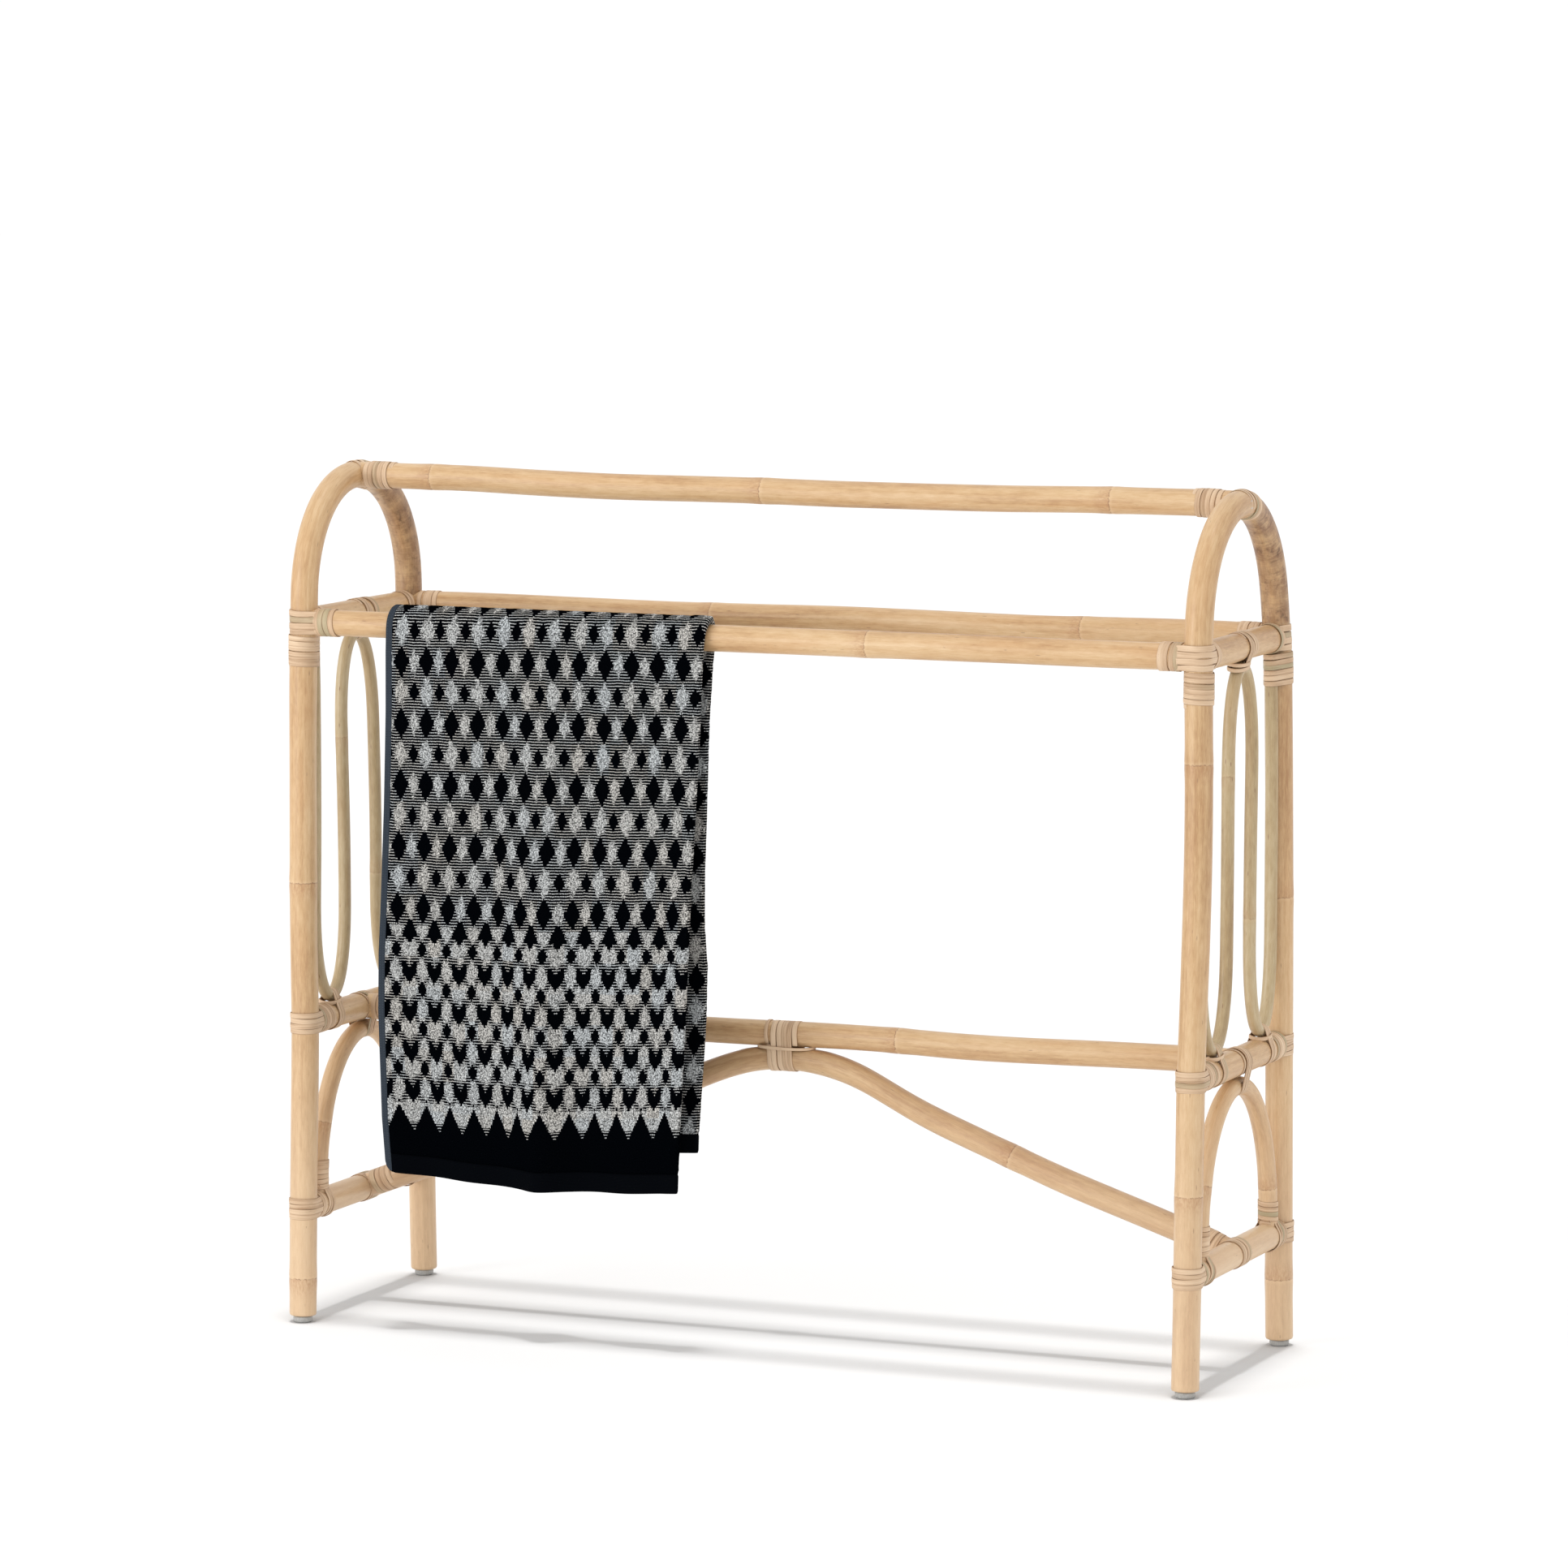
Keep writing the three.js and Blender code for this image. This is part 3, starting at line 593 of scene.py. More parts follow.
lines = {
    "top": rail_line(0, TOP_Z, RAIL, 21),
    "front": rail_line(-RAIL_Y, RAIL_Z, RAIL, 22, 0.0006),
    "back": rail_line(RAIL_Y, RAIL_Z, RAIL, 23),
    "stretcher": rail_line(0, MIDDLE_Z, STRETCHER, 24),
    "brace": brace_line(),
}
for side in SIDES:
    lines["frame_" + side] = frame_line(side)
    lines["wave_" + side] = wave_line(side)
    lines["arch_" + side] = foot_arch_line(side)
    for level, z in LEVELS.items():
        lines[f"{level}_{side}"] = bar_line(side, z, 30 + len(lines))


# ---- poles and canes ----


def scorch(side):
    """Where bending by flame darkened the back half of an arch: (y, z, size, strength)."""
    spots = [(0.058, 0.852, 0.030, 1.0), (0.093, 0.822, 0.030, 0.95)]
    spots += [(0.112, 0.785, 0.032, 0.75), (0.118, 0.750, 0.026, 0.8)]

    def amount(co):
        total = np.zeros(co.shape[:2])
        for y, z, size, strength in spots:
            d = np.hypot(co[..., 1] - y, co[..., 2] - z)
            total = np.maximum(total, strength * np.clip(1.25 - d / size, 0, 1))
        return np.clip(total * 1.25, 0, 1) * (1.0 if side == "right" else 0.85)

    return amount


def add_pole(
    name, line, nodes=(), seed=0, material=POLE_MATERIAL, sides=40, tone=0.0, char=None, edge=0.0015
):
    """A cane: a round tube that swells at its growth nodes, with softly rounded ends."""
    s, r = line.s, line.radius
    size = r * (1 + 0.012 * wobble(s, seed + 11, 9))
    nearest = np.full(len(s), 1.0)
    for node in nodes:
        d = s - line.near(node)
        nearest = np.where(np.abs(d) < np.abs(nearest), d, nearest)
        size += 0.035 * r * np.exp(-((d / 0.012) ** 2)) - 0.012 * r * np.exp(-((d / 0.0016) ** 2))
    angle = full_turn(sides)
    ring = around(angle, line.n[:, None], line.b[:, None])
    oval = 1 + 0.012 * np.cos(2 * angle + seed)
    co = line.p[:, None] + ring * (size[:, None] * oval)[..., None]
    burn = np.zeros(co.shape[:2]) if char is None else char(co)
    # Two more rings at each end: a rounded rim and a flat cap.
    pad = lambda a: np.pad(a, [(2, 2)] + [(0, 0)] * (a.ndim - 1), mode="edge")
    co, burn, s, nearest = (pad(a) for a in (co, burn, s, nearest))
    for cap, rim, last, centre, way in ((0, 1, 2, line.p[0], line.t[0]), (-1, -2, -3, line.p[-1], -line.t[-1])):
        inwards = centre - co[rim]
        co[last] += way * edge
        co[cap] = co[rim] + inwards * (edge / r)
        co[rim] += inwards * (edge * 0.3 / r) + way * edge * 0.3
    shape = co.shape[:2]
    grain = spread_out(shape, r * np.cos(angle), r * np.sin(angle), s[:, None] + seed * 1.37)
    knot = spread_out(shape, nearest[:, None]).ravel()
    sheets = Sheets()
    sheets.put(co.reshape(-1, 3), tube_faces(*shape), grain, tone, knot, burn.ravel())
    sheets.piece(name, material)


def add_poles():
    # The growth nodes of each leg, as (y, z).
    legs = {
        "left": [(-0.127, 0.456), (-0.140, 0.047), (0.125, 0.52), (0.136, 0.16)],
        "right": [(-0.121, 0.623), (-0.135, 0.200), (0.126, 0.464), (0.139, 0.0707)],
    }
    for side, sign in SIDES.items():
        x = sign * FRAME_X
        nodes = [(x, y, z) for y, z in legs[side]]
        add_pole(f"end_frame_{side}", lines["frame_" + side], nodes, 1 + sign, char=scorch(side), edge=0.002)
        nodes = [(x, -0.03, 0.6), (x, 0.035, 0.45)]
        add_pole(f"wave_cane_{side}", lines["wave_" + side], nodes, 11 + sign, CANE_MATERIAL, 24)
        nodes = [(x, -0.09, 0.2), (x, 0.1, 0.17)]
        add_pole(f"foot_arch_{side}", lines["arch_" + side], nodes, 14 + sign, sides=28)
        for k, level in enumerate(LEVELS):
            add_pole(f"side_bar_{level}_{side}", lines[f"{level}_{side}"], (), 20 + 3 * sign + k)
    add_pole("rail_top", lines["top"], [(-0.396, 0, TOP_Z), (-0.026, 0, TOP_Z), (0.352, 0, TOP_Z)], 31)
    add_pole("rail_front", lines["front"], [(-0.2, -RAIL_Y, RAIL_Z), (0.1395, -RAIL_Y, RAIL_Z)], 32)
    add_pole("rail_back", lines["back"], [(-0.134, RAIL_Y, RAIL_Z), (0.277, RAIL_Y, RAIL_Z)], 33)
    add_pole("stretcher", lines["stretcher"], [(-0.25, 0, MIDDLE_Z), (0.124, 0, MIDDLE_Z)], 34)
    add_pole("brace", lines["brace"], [(-0.15, 0, 0.25), (0.247, 0, 0.2046)], 35, tone=-1.3)


# ---- peel bindings ----


def bind_apex(sheets, side, sign):
    seed = 40 + sign
    wind_from_leg(sheets, lines["top"], sign, 0.0125, 0.0275, 5.2, seed, phase=1.2)
    arch = lines["frame_" + side]
    top = arch.near((sign * FRAME_X, 0, TOP_Z))
    wind(sheets, arch, top + 0.0135, top + 0.0295, 3.2, phase=0.6, seed=seed + 2)
    # Strips that climb from the rail over the arch's crown to the turns behind it.
    phase = math.pi if sign > 0 else 0.0
    for k in range(3):
        start = top - 0.0105 + 0.0065 * k
        wind(sheets, arch, start, start + 0.015, 0.56, phase, 0.0002 * k, seed + 20 + k, 0.0056, sign)


def bind_upper_tie(sheets, side, sign):
    seed = 90 + sign
    origin = np.array([sign * FRAME_X, 0, RAIL_Z])
    bar = lines["upper_" + side]
    middle = bar.near(origin)
    wind(sheets, bar, middle + 0.0085, middle + 0.0205, 2.2, phase=0.4, seed=seed + 1)
    cane = (0.0, WAVE_HIGH - RAIL_Z, WAVE_CANE / 2)
    bundle(sheets, origin, X, Z, Y, [HELD_POLE, cane], -0.007, 0.007, 3, 0.1, seed + 3, 0.0044)
    collar(sheets, origin - 0.0165 * Z, Y, X, 0.017, 0.0105, seed + 4, 0.004)
    collar(sheets, origin - 0.0205 * Z, Y, X, 0.018, 0.0095, seed + 5, 0.0038, 0.0012)


def bind_middle_tie(sheets, side, sign):
    seed = 100 + sign
    wind_from_leg(sheets, lines["stretcher"], sign, 0.0125, 0.0235, 4.2, seed, phase=0.3)
    origin = np.array([sign * FRAME_X, 0, MIDDLE_Z])
    arch = (0.0, ARCH_TOP - MIDDLE_Z, FOOT_CANE / 2)
    bundle(sheets, origin, X, Z, Y, [HELD_POLE, arch], -0.009, 0.009, 4, 0.2, seed + 3, 0.0037)
    bar = lines["middle_" + side]
    middle = bar.near(origin)
    wind(sheets, bar, middle - 0.014, middle - 0.0095, 1.2, phase=1.4, seed=seed + 5, width=0.0037)


def bind_lower_tie(sheets, side, sign):
    seed = 110 + sign
    bar = lines["lower_" + side]
    middle = bar.near((sign * FRAME_X, 0, LOWER_Z))
    wind(sheets, bar, middle - 0.014, middle + 0.014, 4.3, phase=1.4, seed=seed, width=0.0056)
    wind_from_leg(sheets, lines["brace"], sign, 0.0125, 0.0235, 3.6, seed + 3, phase=0.3)


def bind_rail_corner(sheets, side, sign, end, depth):
    seed = 50 + 4 * sign + depth
    wind_from_leg(sheets, lines[end], sign, 0.0125, 0.0235, 4.2, seed, phase=0.5)
    wind_from_leg(sheets, lines["upper_" + side], depth, 0.009, 0.0125, 2.2, seed + 3, phase=2.0, lift=0.0002)
    centre = np.array([sign * FRAME_X, depth * leg_y(RAIL_Z), RAIL_Z])
    band(sheets, centre, -0.020 * sign * X, -0.018 * depth * Y, depth * Y, -sign * depth * math.pi / 2, 0.0255, seed)
    # The winding below the joint takes in the end of the wave cane.
    low, high = WAVE_END - 0.026, RAIL_Z - 0.0145
    leg = lines["frame_" + side]
    start = leg.p[np.argmin(np.linalg.norm(leg.p - np.array([sign * FRAME_X, depth * leg_y(low), low]), axis=1))]
    axis = unit(np.array([0, depth * LEG_SLOPE, 1.0]))
    cane = (0.0, -INSET - 0.0006, WAVE_CANE / 2)
    bundle(sheets, start, X, depth * Y, axis, [HELD_POLE, cane], 0.0, high - low, 6.4, 0.3, seed + 6)


def bind_bar_corner(level, reach, turns, sheets, side, sign, end, depth):
    seed = 70 + 5 * sign + depth + (9 if level == "lower" else 0)
    z = LEVELS[level]
    wind_from_leg(sheets, lines[f"{level}_{side}"], depth, 0.0085, reach, turns, seed, phase=1.0)
    centre = np.array([sign * FRAME_X, depth * leg_y(z), z])
    tail = -0.019 * depth * Y
    band(sheets, centre, tail, tail, sign * X, sign * depth * math.pi, 0.0212, seed)


def bind_wave_foot(sheets, side, sign, end, depth):
    seed = 120 + 3 * sign + depth
    inner = WAVE_LEAN[side][0 if end == "front" else 1]
    origin = np.array([sign * FRAME_X, depth * (leg_y(WAVE_LOW) - INSET + inner) / 2, MIDDLE_Z])
    cane = (0.0, WAVE_LOW - MIDDLE_Z, WAVE_CANE / 2)
    bundle(sheets, origin, X, Z, Y, [HELD_POLE, cane], -0.0065, 0.0065, 3, 0.6, seed, 0.0043)
    collar(sheets, origin + 0.0155 * Z, Y, X, 0.014, 0.0105, seed + 4, 0.0038, 0.001)


def bind_arch_foot(sheets, side, sign, end, depth):
    seed = 130 + 3 * sign + depth
    arch = lines["arch_" + side]
    origin = np.array([sign * FRAME_X, depth * ARCH_FOOT_Y, LOWER_Z])
    low = arch.near(origin + 0.0155 * Z)
    length, turns = (0.030, 6.2) if end == "front" else (0.0235, 4.8)
    wind(sheets, arch, low, low - depth * length, turns, phase=0.7, seed=seed, width=0.0050)
    slant = unit(np.array([0, 1.0, 0.18 * depth]))
    foot = (0.0, 0.0135, 0.0075)
    bundle(sheets, origin, X, Z, slant, [HELD_POLE, foot], -0.0075, 0.0075, 3, 0.2, seed + 2, 0.0045)


def bind_crest(sheets):
    stretcher = lines["stretcher"]
    middle = stretcher.s[-1] / 2
    poles = [(0, 0, STRETCHER / 2 * 1.02), (0, BRACE_TOP - MIDDLE_Z, BRACE / 2 * 1.02)]
    bundle(sheets, MIDDLE_Z * Z, Y, Z, X, poles, -0.0145, 0.0145, 5, 0.4, 140)
    wind(sheets, stretcher, middle - 0.0195, middle - 0.0145, 1.3, seed=143)
    collar(sheets, (MIDDLE_Z + BRACE_TOP) / 2 * Z, X, Y, 0.031, 0.0158, 141, 0.0034)


def add_binding(name, build, *where):
    sheets = Sheets()
    build(sheets, *where)
    sheets.piece(name, PEEL_MATERIAL)


def add_bindings():
    ties = {"apex": bind_apex, "upper_tie": bind_upper_tie, "middle_tie": bind_middle_tie, "lower_tie": bind_lower_tie}
    corners = {
        "rail": bind_rail_corner,
        "middle": partial(bind_bar_corner, "middle", 0.0275, 5.1),
        "lower": partial(bind_bar_corner, "lower", 0.0105, 2.2),
        "wave": bind_wave_foot,
        "foot": bind_arch_foot,
    }
    for side, sign in SIDES.items():
        for name, build in ties.items():
            add_binding(f"bind_{name}_{side}", build, side, sign)
        for end, depth in ENDS.items():
            for name, build in corners.items():
                add_binding(f"bind_{name}_{end}_{side}", build, side, sign, end, depth)
    add_binding("bind_crest", bind_crest)


# ---- glides and screws ----


def plastic_material():
    g = Graph("glide_plastic")
    scuff = g.noise(g.place(), (900, 900, 300), 4, 0.6)
    colour = g.ramp(scuff, (0.3, (0.33, 0.325, 0.31)), (0.7, (0.47, 0.465, 0.445)))
    return g.finish(colour, g.span(scuff, 0.3, 0.7, 0.38, 0.6), g.bump(scuff, 0.0001, 0.4))


def steel_material():
    g = Graph("screw_steel")
    scratch = g.noise(g.place(), (400, 3000, 3000), 3)
    colour = g.ramp(scratch, (0.3, (0.42, 0.42, 0.42)), (0.7, (0.62, 0.62, 0.61)))
    return g.finish(colour, g.span(scratch, 0.3, 0.7, 0.28, 0.45), g.bump(scratch, 0.00005, 0.3), Metallic=1.0)


def add_hardware():
    plastic, steel = plastic_material(), steel_material()
    # Each glide: a shallow foot with rounded edges, and its nail up inside the leg, as (radius, height).
    profile = [(0.0075, 0.0), (0.0088, 0.0002), (0.0096, 0.0008), (0.01, 0.0017), (0.01, 0.0048), (0.0097, 0.0058)]
    profile += [(0.0090, 0.0064), (0.0078, 0.0066), (0.0013, 0.0066), (0.0013, 0.024)]
    sides = 48
    circle = around(full_turn(sides), X, Y)
    for end, depth in ENDS.items():
        for side, sign in SIDES.items():
            foot = np.array([sign * FRAME_X, depth * FOOT_Y, 0])
            co = np.vstack([foot + r * circle + z * Z for r, z in profile])
            sheets = Sheets()
            sheets.put(co, tube_faces(len(profile), sides), co)
            sheets.piece(f"glide_{end}_{side}", plastic)
    for name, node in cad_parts.items():
        if name.startswith("screw_"):
            node.data.materials.clear()
            node.data.materials.append(steel)


# ---- the towel ----
# Cloth coordinates: u runs across the flat towel from one selvedge to the other, and v along it from the front end.

FLAT_W, FLAT_L = 0.70, 1.15
FRONT, ARC = 0.562, 0.057  # v at the rail's front, and the length that lies over the rail
INNER, OUTER = 0.0031, 0.0066  # middle of each layer, out from the rail
TERRY_THICK, HEM_THICK = 0.0033, 0.0030
SELVEDGE, HEM = 0.0075, 0.0198  # width of the side hems and height of the end hems
CORNER = 0.011  # radius of the hems' corners
FOLD_R = (OUTER - INNER) / 2
FOLD_HALF = math.pi / 2 * FOLD_R  # half the width of cloth in the fold
COLUMN, COLUMN_START, LOOP_LINE = 0.0284, 0.0182, 0.00285  # the pattern's columns, and one line of loops
LOWER_ROW = 0.2190  # v of the first row of darts
TIP_LOW, TIP_HIGH = 0.0560, 0.0845  # v of the white points over the front border
TOWEL_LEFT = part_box("towel_side_hem")[0].x


def edges(z, back):
    """Where the folded towel's left and right edges hang, at each height."""
    height = [0.15, 0.22, 0.33, 0.39, 0.43, 0.48, 0.54, 0.64, 0.70, 0.76]
    left = [0.005, -0.0012, -0.0055, -0.005, -0.003, -0.001, 0.0015, 0.0042, 0.0047, 0.0065]
    right = [0.3275, 0.330, 0.3365, 0.3395, 0.3415, 0.344, 0.348, 0.354, 0.3565, 0.3615]
    if back:
        right = [0.334, 0.336, 0.344, 0.3455, 0.3425, 0.3425, 0.3445, 0.3475, 0.3515, 0.3575]
    return TOWEL_LEFT + np.interp(z, height, left), TOWEL_LEFT + np.interp(z, height, right)


def cloth(u, v):
    """Places flat cloth coordinates in space: folded along its length, and hung over the front rail."""
    # Across the towel: share is 0 at the open edges and 1 at the fold; out is the distance from the rail.
    turn = np.clip((u - FLAT_W / 2) / FOLD_R, -math.pi / 2, math.pi / 2)
    past = np.clip(np.abs(u - FLAT_W / 2) - FOLD_HALF, 0, None)
    across = FLAT_W / 2 - FOLD_HALF + FOLD_R * np.cos(turn) - past
    share = across / (FLAT_W / 2)
    near_fold = np.clip(1 - (FLAT_W / 2 - across) / 0.02, 0, 1)
    out = (OUTER + INNER) / 2 - FOLD_R * np.sin(turn)
    out = out + np.where(u < FLAT_W / 2, 0.0032, 0.0) * near_fold * (1 - near_fold)
    # Along the towel: over the rail and down on both sides.
    drop = np.clip(FRONT - v, 0, None) + np.clip(v - FRONT - ARC, 0, None) * 0.990
    angle = math.pi * np.clip((v - FRONT) / ARC, 0, 1)
    depth = drop / FRONT
    reach = RAIL / 2 + out
    # Soft hanging waves and one pleat, deeper towards the free ends.
    wave = 0.0006 + 0.0072 * depth**1.1
    sway = np.sin(2 * math.pi * (share * 2.05 + 0.10 + 0.12 * depth)) * 0.75
    sway = sway + 0.5 * np.sin(2 * math.pi * (share * 3.7 + 0.45 - 0.2 * depth))
    pleat = np.exp(-(((share - 0.56 + 0.03 * depth) / 0.045) ** 2)) * 0.75
    swing = wave * (sway + pleat) * np.where(v < FRONT + ARC / 2, 1.0, 0.6)
    lean = -0.0045 * np.sin(math.pi / 2 * np.clip(depth, 0, 1))
    y = -RAIL_Y - (reach + np.where(drop > 0, swing + lean, 0.0)) * np.cos(angle)
    sag = 0.0085 * (1 - (2 * share - 1.05) ** 2) * np.clip(depth, 0, 1) ** 1.5
    z = RAIL_Z + reach * np.sin(angle) - drop - sag * np.where(v < FRONT, 1.0, 0.5)
    (left, right), (back_left, back_right) = (edges(np.minimum(z, 0.76), back) for back in (False, True))
    front_x, back_x = left + share * (right - left), back_left + share * (back_right - back_left)
    return np.stack([np.where(v > FRONT + ARC / 2, back_x, front_x), y, z], -1)


def cloth_patch(sheets, us, vs, thickness, corner=0.0, fuzz=0.0):
    """A closed slab of cloth over a grid of cloth coordinates, with rounded rims."""
    uu, vv = np.meshgrid(us, vs, indexing="ij")
    if corner:
        near = np.clip(corner - np.minimum(uu, FLAT_W - uu), 0, corner)
        lift = corner - np.sqrt(corner**2 - near**2)
        front, back = np.clip(1 - vv / HEM, 0, 1), np.clip(1 - (FLAT_L - vv) / HEM, 0, 1)
        vv = np.where(vv < FRONT, vv + lift * front, vv - lift * back)
    middle = cloth(uu, vv)
    normal = unit(np.cross(np.gradient(middle, axis=0), np.gradient(middle, axis=1)))
    if normal[0, 0, 1] > 0 and vs[0] < FRONT:
        normal = -normal
    half = np.full(uu.shape, thickness / 2)
    if fuzz:
        rise = [noise.noise(Vector((u * 260, v * 260, 0))) for u, v in zip(uu.ravel(), vv.ravel())]
        half = half + fuzz * np.reshape(rise, uu.shape)
    n, m = uu.shape
    i, j = np.arange(n)[:, None], np.arange(m)[None, :]
    rim = np.minimum(np.minimum(i, n - 1 - i), np.minimum(j, m - 1 - j)) == 0
    away = normal * (half * np.where(rim, 0.55, 1.0))[..., None]
    co = np.concatenate([(middle + away).reshape(-1, 3), (middle - away).reshape(-1, 3)])
    # Faces of the top, of the underside and of the wall between them.
    index = np.arange(n * m).reshape(n, m)
    top = np.stack([index[:-1, :-1], index[1:, :-1], index[1:, 1:], index[:-1, 1:]], -1).reshape(-1, 4)
    loop = np.concatenate([index[:, 0], index[-1, 1:], index[-2::-1, -1], index[0, -2:0:-1]])
    ahead = np.roll(loop, -1)
    wall = np.stack([ahead, loop, loop + n * m, ahead + n * m], 1)
    faces = np.concatenate([top, top[:, ::-1] + n * m, wall])
    flat = np.concatenate([np.stack([uu, vv, 0 * uu], -1).reshape(-1, 3)] * 2)
    sheets.put(co, faces.tolist(), flat)


def terry_material():
    """Two-colour jacquard terry: lines of loops in black and off-white, which make rows of diamonds."""
    g = Graph("terry")
    flat = g.attribute("grain", "Vector")
    flat_u, flat_v = g.parts(flat)[:2]
    drift = g.add(g.noise(flat, (14, 22, 1), 1), -0.5)
    low_down = g.math("POWER", g.span(flat_v, FRONT, 0.0), 1.3)
    u = g.add(flat_u, g.mul(drift, 0.003), g.mul(low_down, -0.0022))
    sway = g.add(g.noise(flat, (55, 12, 1)), -0.5)
    # The weave runs a little askew towards the front end.
    askew = g.mul(g.span(flat_u, 0.0, FLAT_W / 2, 0.0085, 0.002), low_down)
    askew = g.add(askew, g.span(flat_u, 0.0, FLAT_W / 2, 0.0005, -0.0058))
    v = g.add(flat_v, 0.004, askew, g.mul(sway, 0.0022))
    # Distance across from the nearest column, and from the nearest gap between two columns.
    column = g.math("DIVIDE", g.add(u, -COLUMN_START), COLUMN)
    main = g.mul(g.signed(column), COLUMN)
    between = g.mul(g.add(g.math("FRACT", column), -0.5), COLUMN)

    def chance(*parts):
        n = g.node("ShaderNodeTexWhiteNoise", noise_dimensions="2D")
        g.feed(n.inputs["Vector"], g.node("ShaderNodeCombineXYZ", enumerate(parts)).outputs[0])
        return n.outputs["Value"]

    # Every line of loops is all one height, so the motifs have stepped edges with ragged ends.
    quiver = g.mul(g.add(g.noise(flat, (240, 90, 1)), -0.5), 0.0010)
    lines_up = g.math("DIVIDE", g.add(v, quiver), LOOP_LINE)
    index = g.math("FLOOR", lines_up)
    stepped = g.mul(g.add(index, 0.5), LOOP_LINE)
    ends = g.add(chance(index, g.math("FLOOR", g.mul(column, 4.0))), -0.5)
    crinkle = g.add(g.noise(flat, (900, 640, 1), 1), -0.5)
    ragged = g.add(g.mul(ends, 0.75), g.mul(crinkle, 0.6))
    wide = g.absolute(g.add(between, g.mul(ragged, 0.0012)))

    def offset(base, period):
        """Signed distance along v from the nearest row of a series."""
        return g.mul(g.signed(g.math("DIVIDE", g.add(stepped, -base), period)), period)

    def diamond(dx, dy, half_w, half_h, rough):
        """1 inside a diamond with stepped, ragged edges."""
        reach = g.add(g.mul(g.absolute(dx), 1 / half_w), g.mul(g.absolute(dy), 1 / half_h))
        return g.less(g.add(reach, g.mul(ragged, rough)), 1.0)

    # Upper field: big and small diamonds in turn.
    row, half_row = offset(0.3136, 0.0624), offset(0.3448, 0.0624)
    upper_white = g.either(diamond(main, row, 0.0082, 0.0156, 0.7), diamond(between, half_row, 0.0066, 0.0126, 0.7))
    upper_black = g.either(diamond(between, row, 0.0058, 0.0104, 0.25), diamond(main, half_row, 0.0090, 0.0165, 0.25))
    # Lower field: white columns, black darts with dotted tops, and white blobs.
    row_c, row_b = offset(LOWER_ROW, 0.0402), offset(LOWER_ROW - 0.0187, 0.0402)
    lobes = g.add(g.absolute(between), -0.0045)
    lobes = diamond(lobes, g.add(row_b, -0.0025), 0.0062, 0.0082, 0.6)
    blob = g.either(diamond(between, row_b, 0.0118, 0.0118, 0.6), lobes)
    lower_white = g.either(diamond(main, row_c, 0.0070, 0.0150, 0.6), blob)
    dart = g.less(wide, g.span(row_c, -0.0135, -0.0015, 0.0, 0.0080))
    dart = g.mul(dart, g.less(row_c, 0.0095), g.more(row_c, -0.0135))
    dots = g.mul(g.less(wide, g.span(row_c, 0.0022, 0.0085, 0.0, 0.0042)), g.more(row_c, 0.0022))
    lower_black = g.either(g.mul(dart, g.inverse(dots)), diamond(main, row_b, 0.0056, 0.0090, 0.25))
    # Where the two fields meet: darts that point up.
    seam = g.add(stepped, -0.2625)
    up = g.less(wide, g.span(seam, -0.0085, 0.0135, 0.0090, 0.0))
    up = g.mul(up, g.more(seam, -0.0085), g.less(seam, 0.0135))
    seam_white = diamond(main, seam, 0.0074, 0.0150, 0.6)
    side_column = g.more(g.absolute(main), COLUMN / 4)
    low = g.less(stepped, g.add(0.2488, g.mul(side_column, 0.0044)))
    high = g.more(stepped, g.add(0.2650, g.mul(side_column, 0.0050)))
    amid = g.inverse(g.either(low, high))

    def chosen(upper, middle, lower):
        return g.add(g.mul(upper, high), g.mul(middle, amid), g.mul(lower, low))

    white, black = chosen(upper_white, seam_white, lower_white), chosen(upper_black, up, lower_black)
    # The front border: white points with lined tips, over plain black.
    point = g.less(wide, g.span(stepped, TIP_LOW, TIP_HIGH, 0.0, COLUMN / 2))
    border = g.less(stepped, TIP_HIGH)
    inland = g.inverse(border)
    white = g.add(g.mul(white, inland), g.mul(border, point, g.more(stepped, TIP_LOW + 0.010)))
    black = g.add(g.mul(black, inland), g.mul(border, g.inverse(point)))
    # Between the motifs, lines of off-white loops lie on black.
    ridge = g.math("PINGPONG", g.mul(g.math("FRACT", lines_up), 2.0), 1.0)
    slip = g.mul(g.noise(flat, (260, 700, 1), 1), 1.6)
    bead = g.math("FRACT", g.add(g.math("DIVIDE", u, 0.00155), chance(index, 3.0), slip))
    bead = g.math("PINGPONG", g.mul(bead, 2.0), 1.0)
    pile = g.noise(flat, (1100, 900, 1), 2, 0.7)
    shape = g.add(ridge, g.mul(g.math("SQRT", bead), 0.30), g.mul(g.add(pile, -0.5), 0.9))
    line = g.mul(g.span(shape, 0.83, 1.05, 0, 1, True), g.span(pile, 0.25, 0.75, 0.30, 0.82))
    # In the motifs the loops crowd together, with small dark gaps. Each loop is painted bright in its middle and fades
    # towards the black ground at its rim: painted shade between the loops.
    loops = g.cells(flat, (820, 680, 1))
    worms = g.noise(flat, (760, 560, 1), 3, 0.75)
    full = g.mul(g.span(loops, 0.22, 0.85, 1.0, 0.20), g.span(worms, 0.38, 0.54, 0.05, 1.0))
    not_black = g.inverse(black)
    ground_lines = g.mul(g.inverse(white), not_black, line)
    amount = g.math("MINIMUM", g.add(g.mul(white, full, not_black), ground_lines), 1.0)
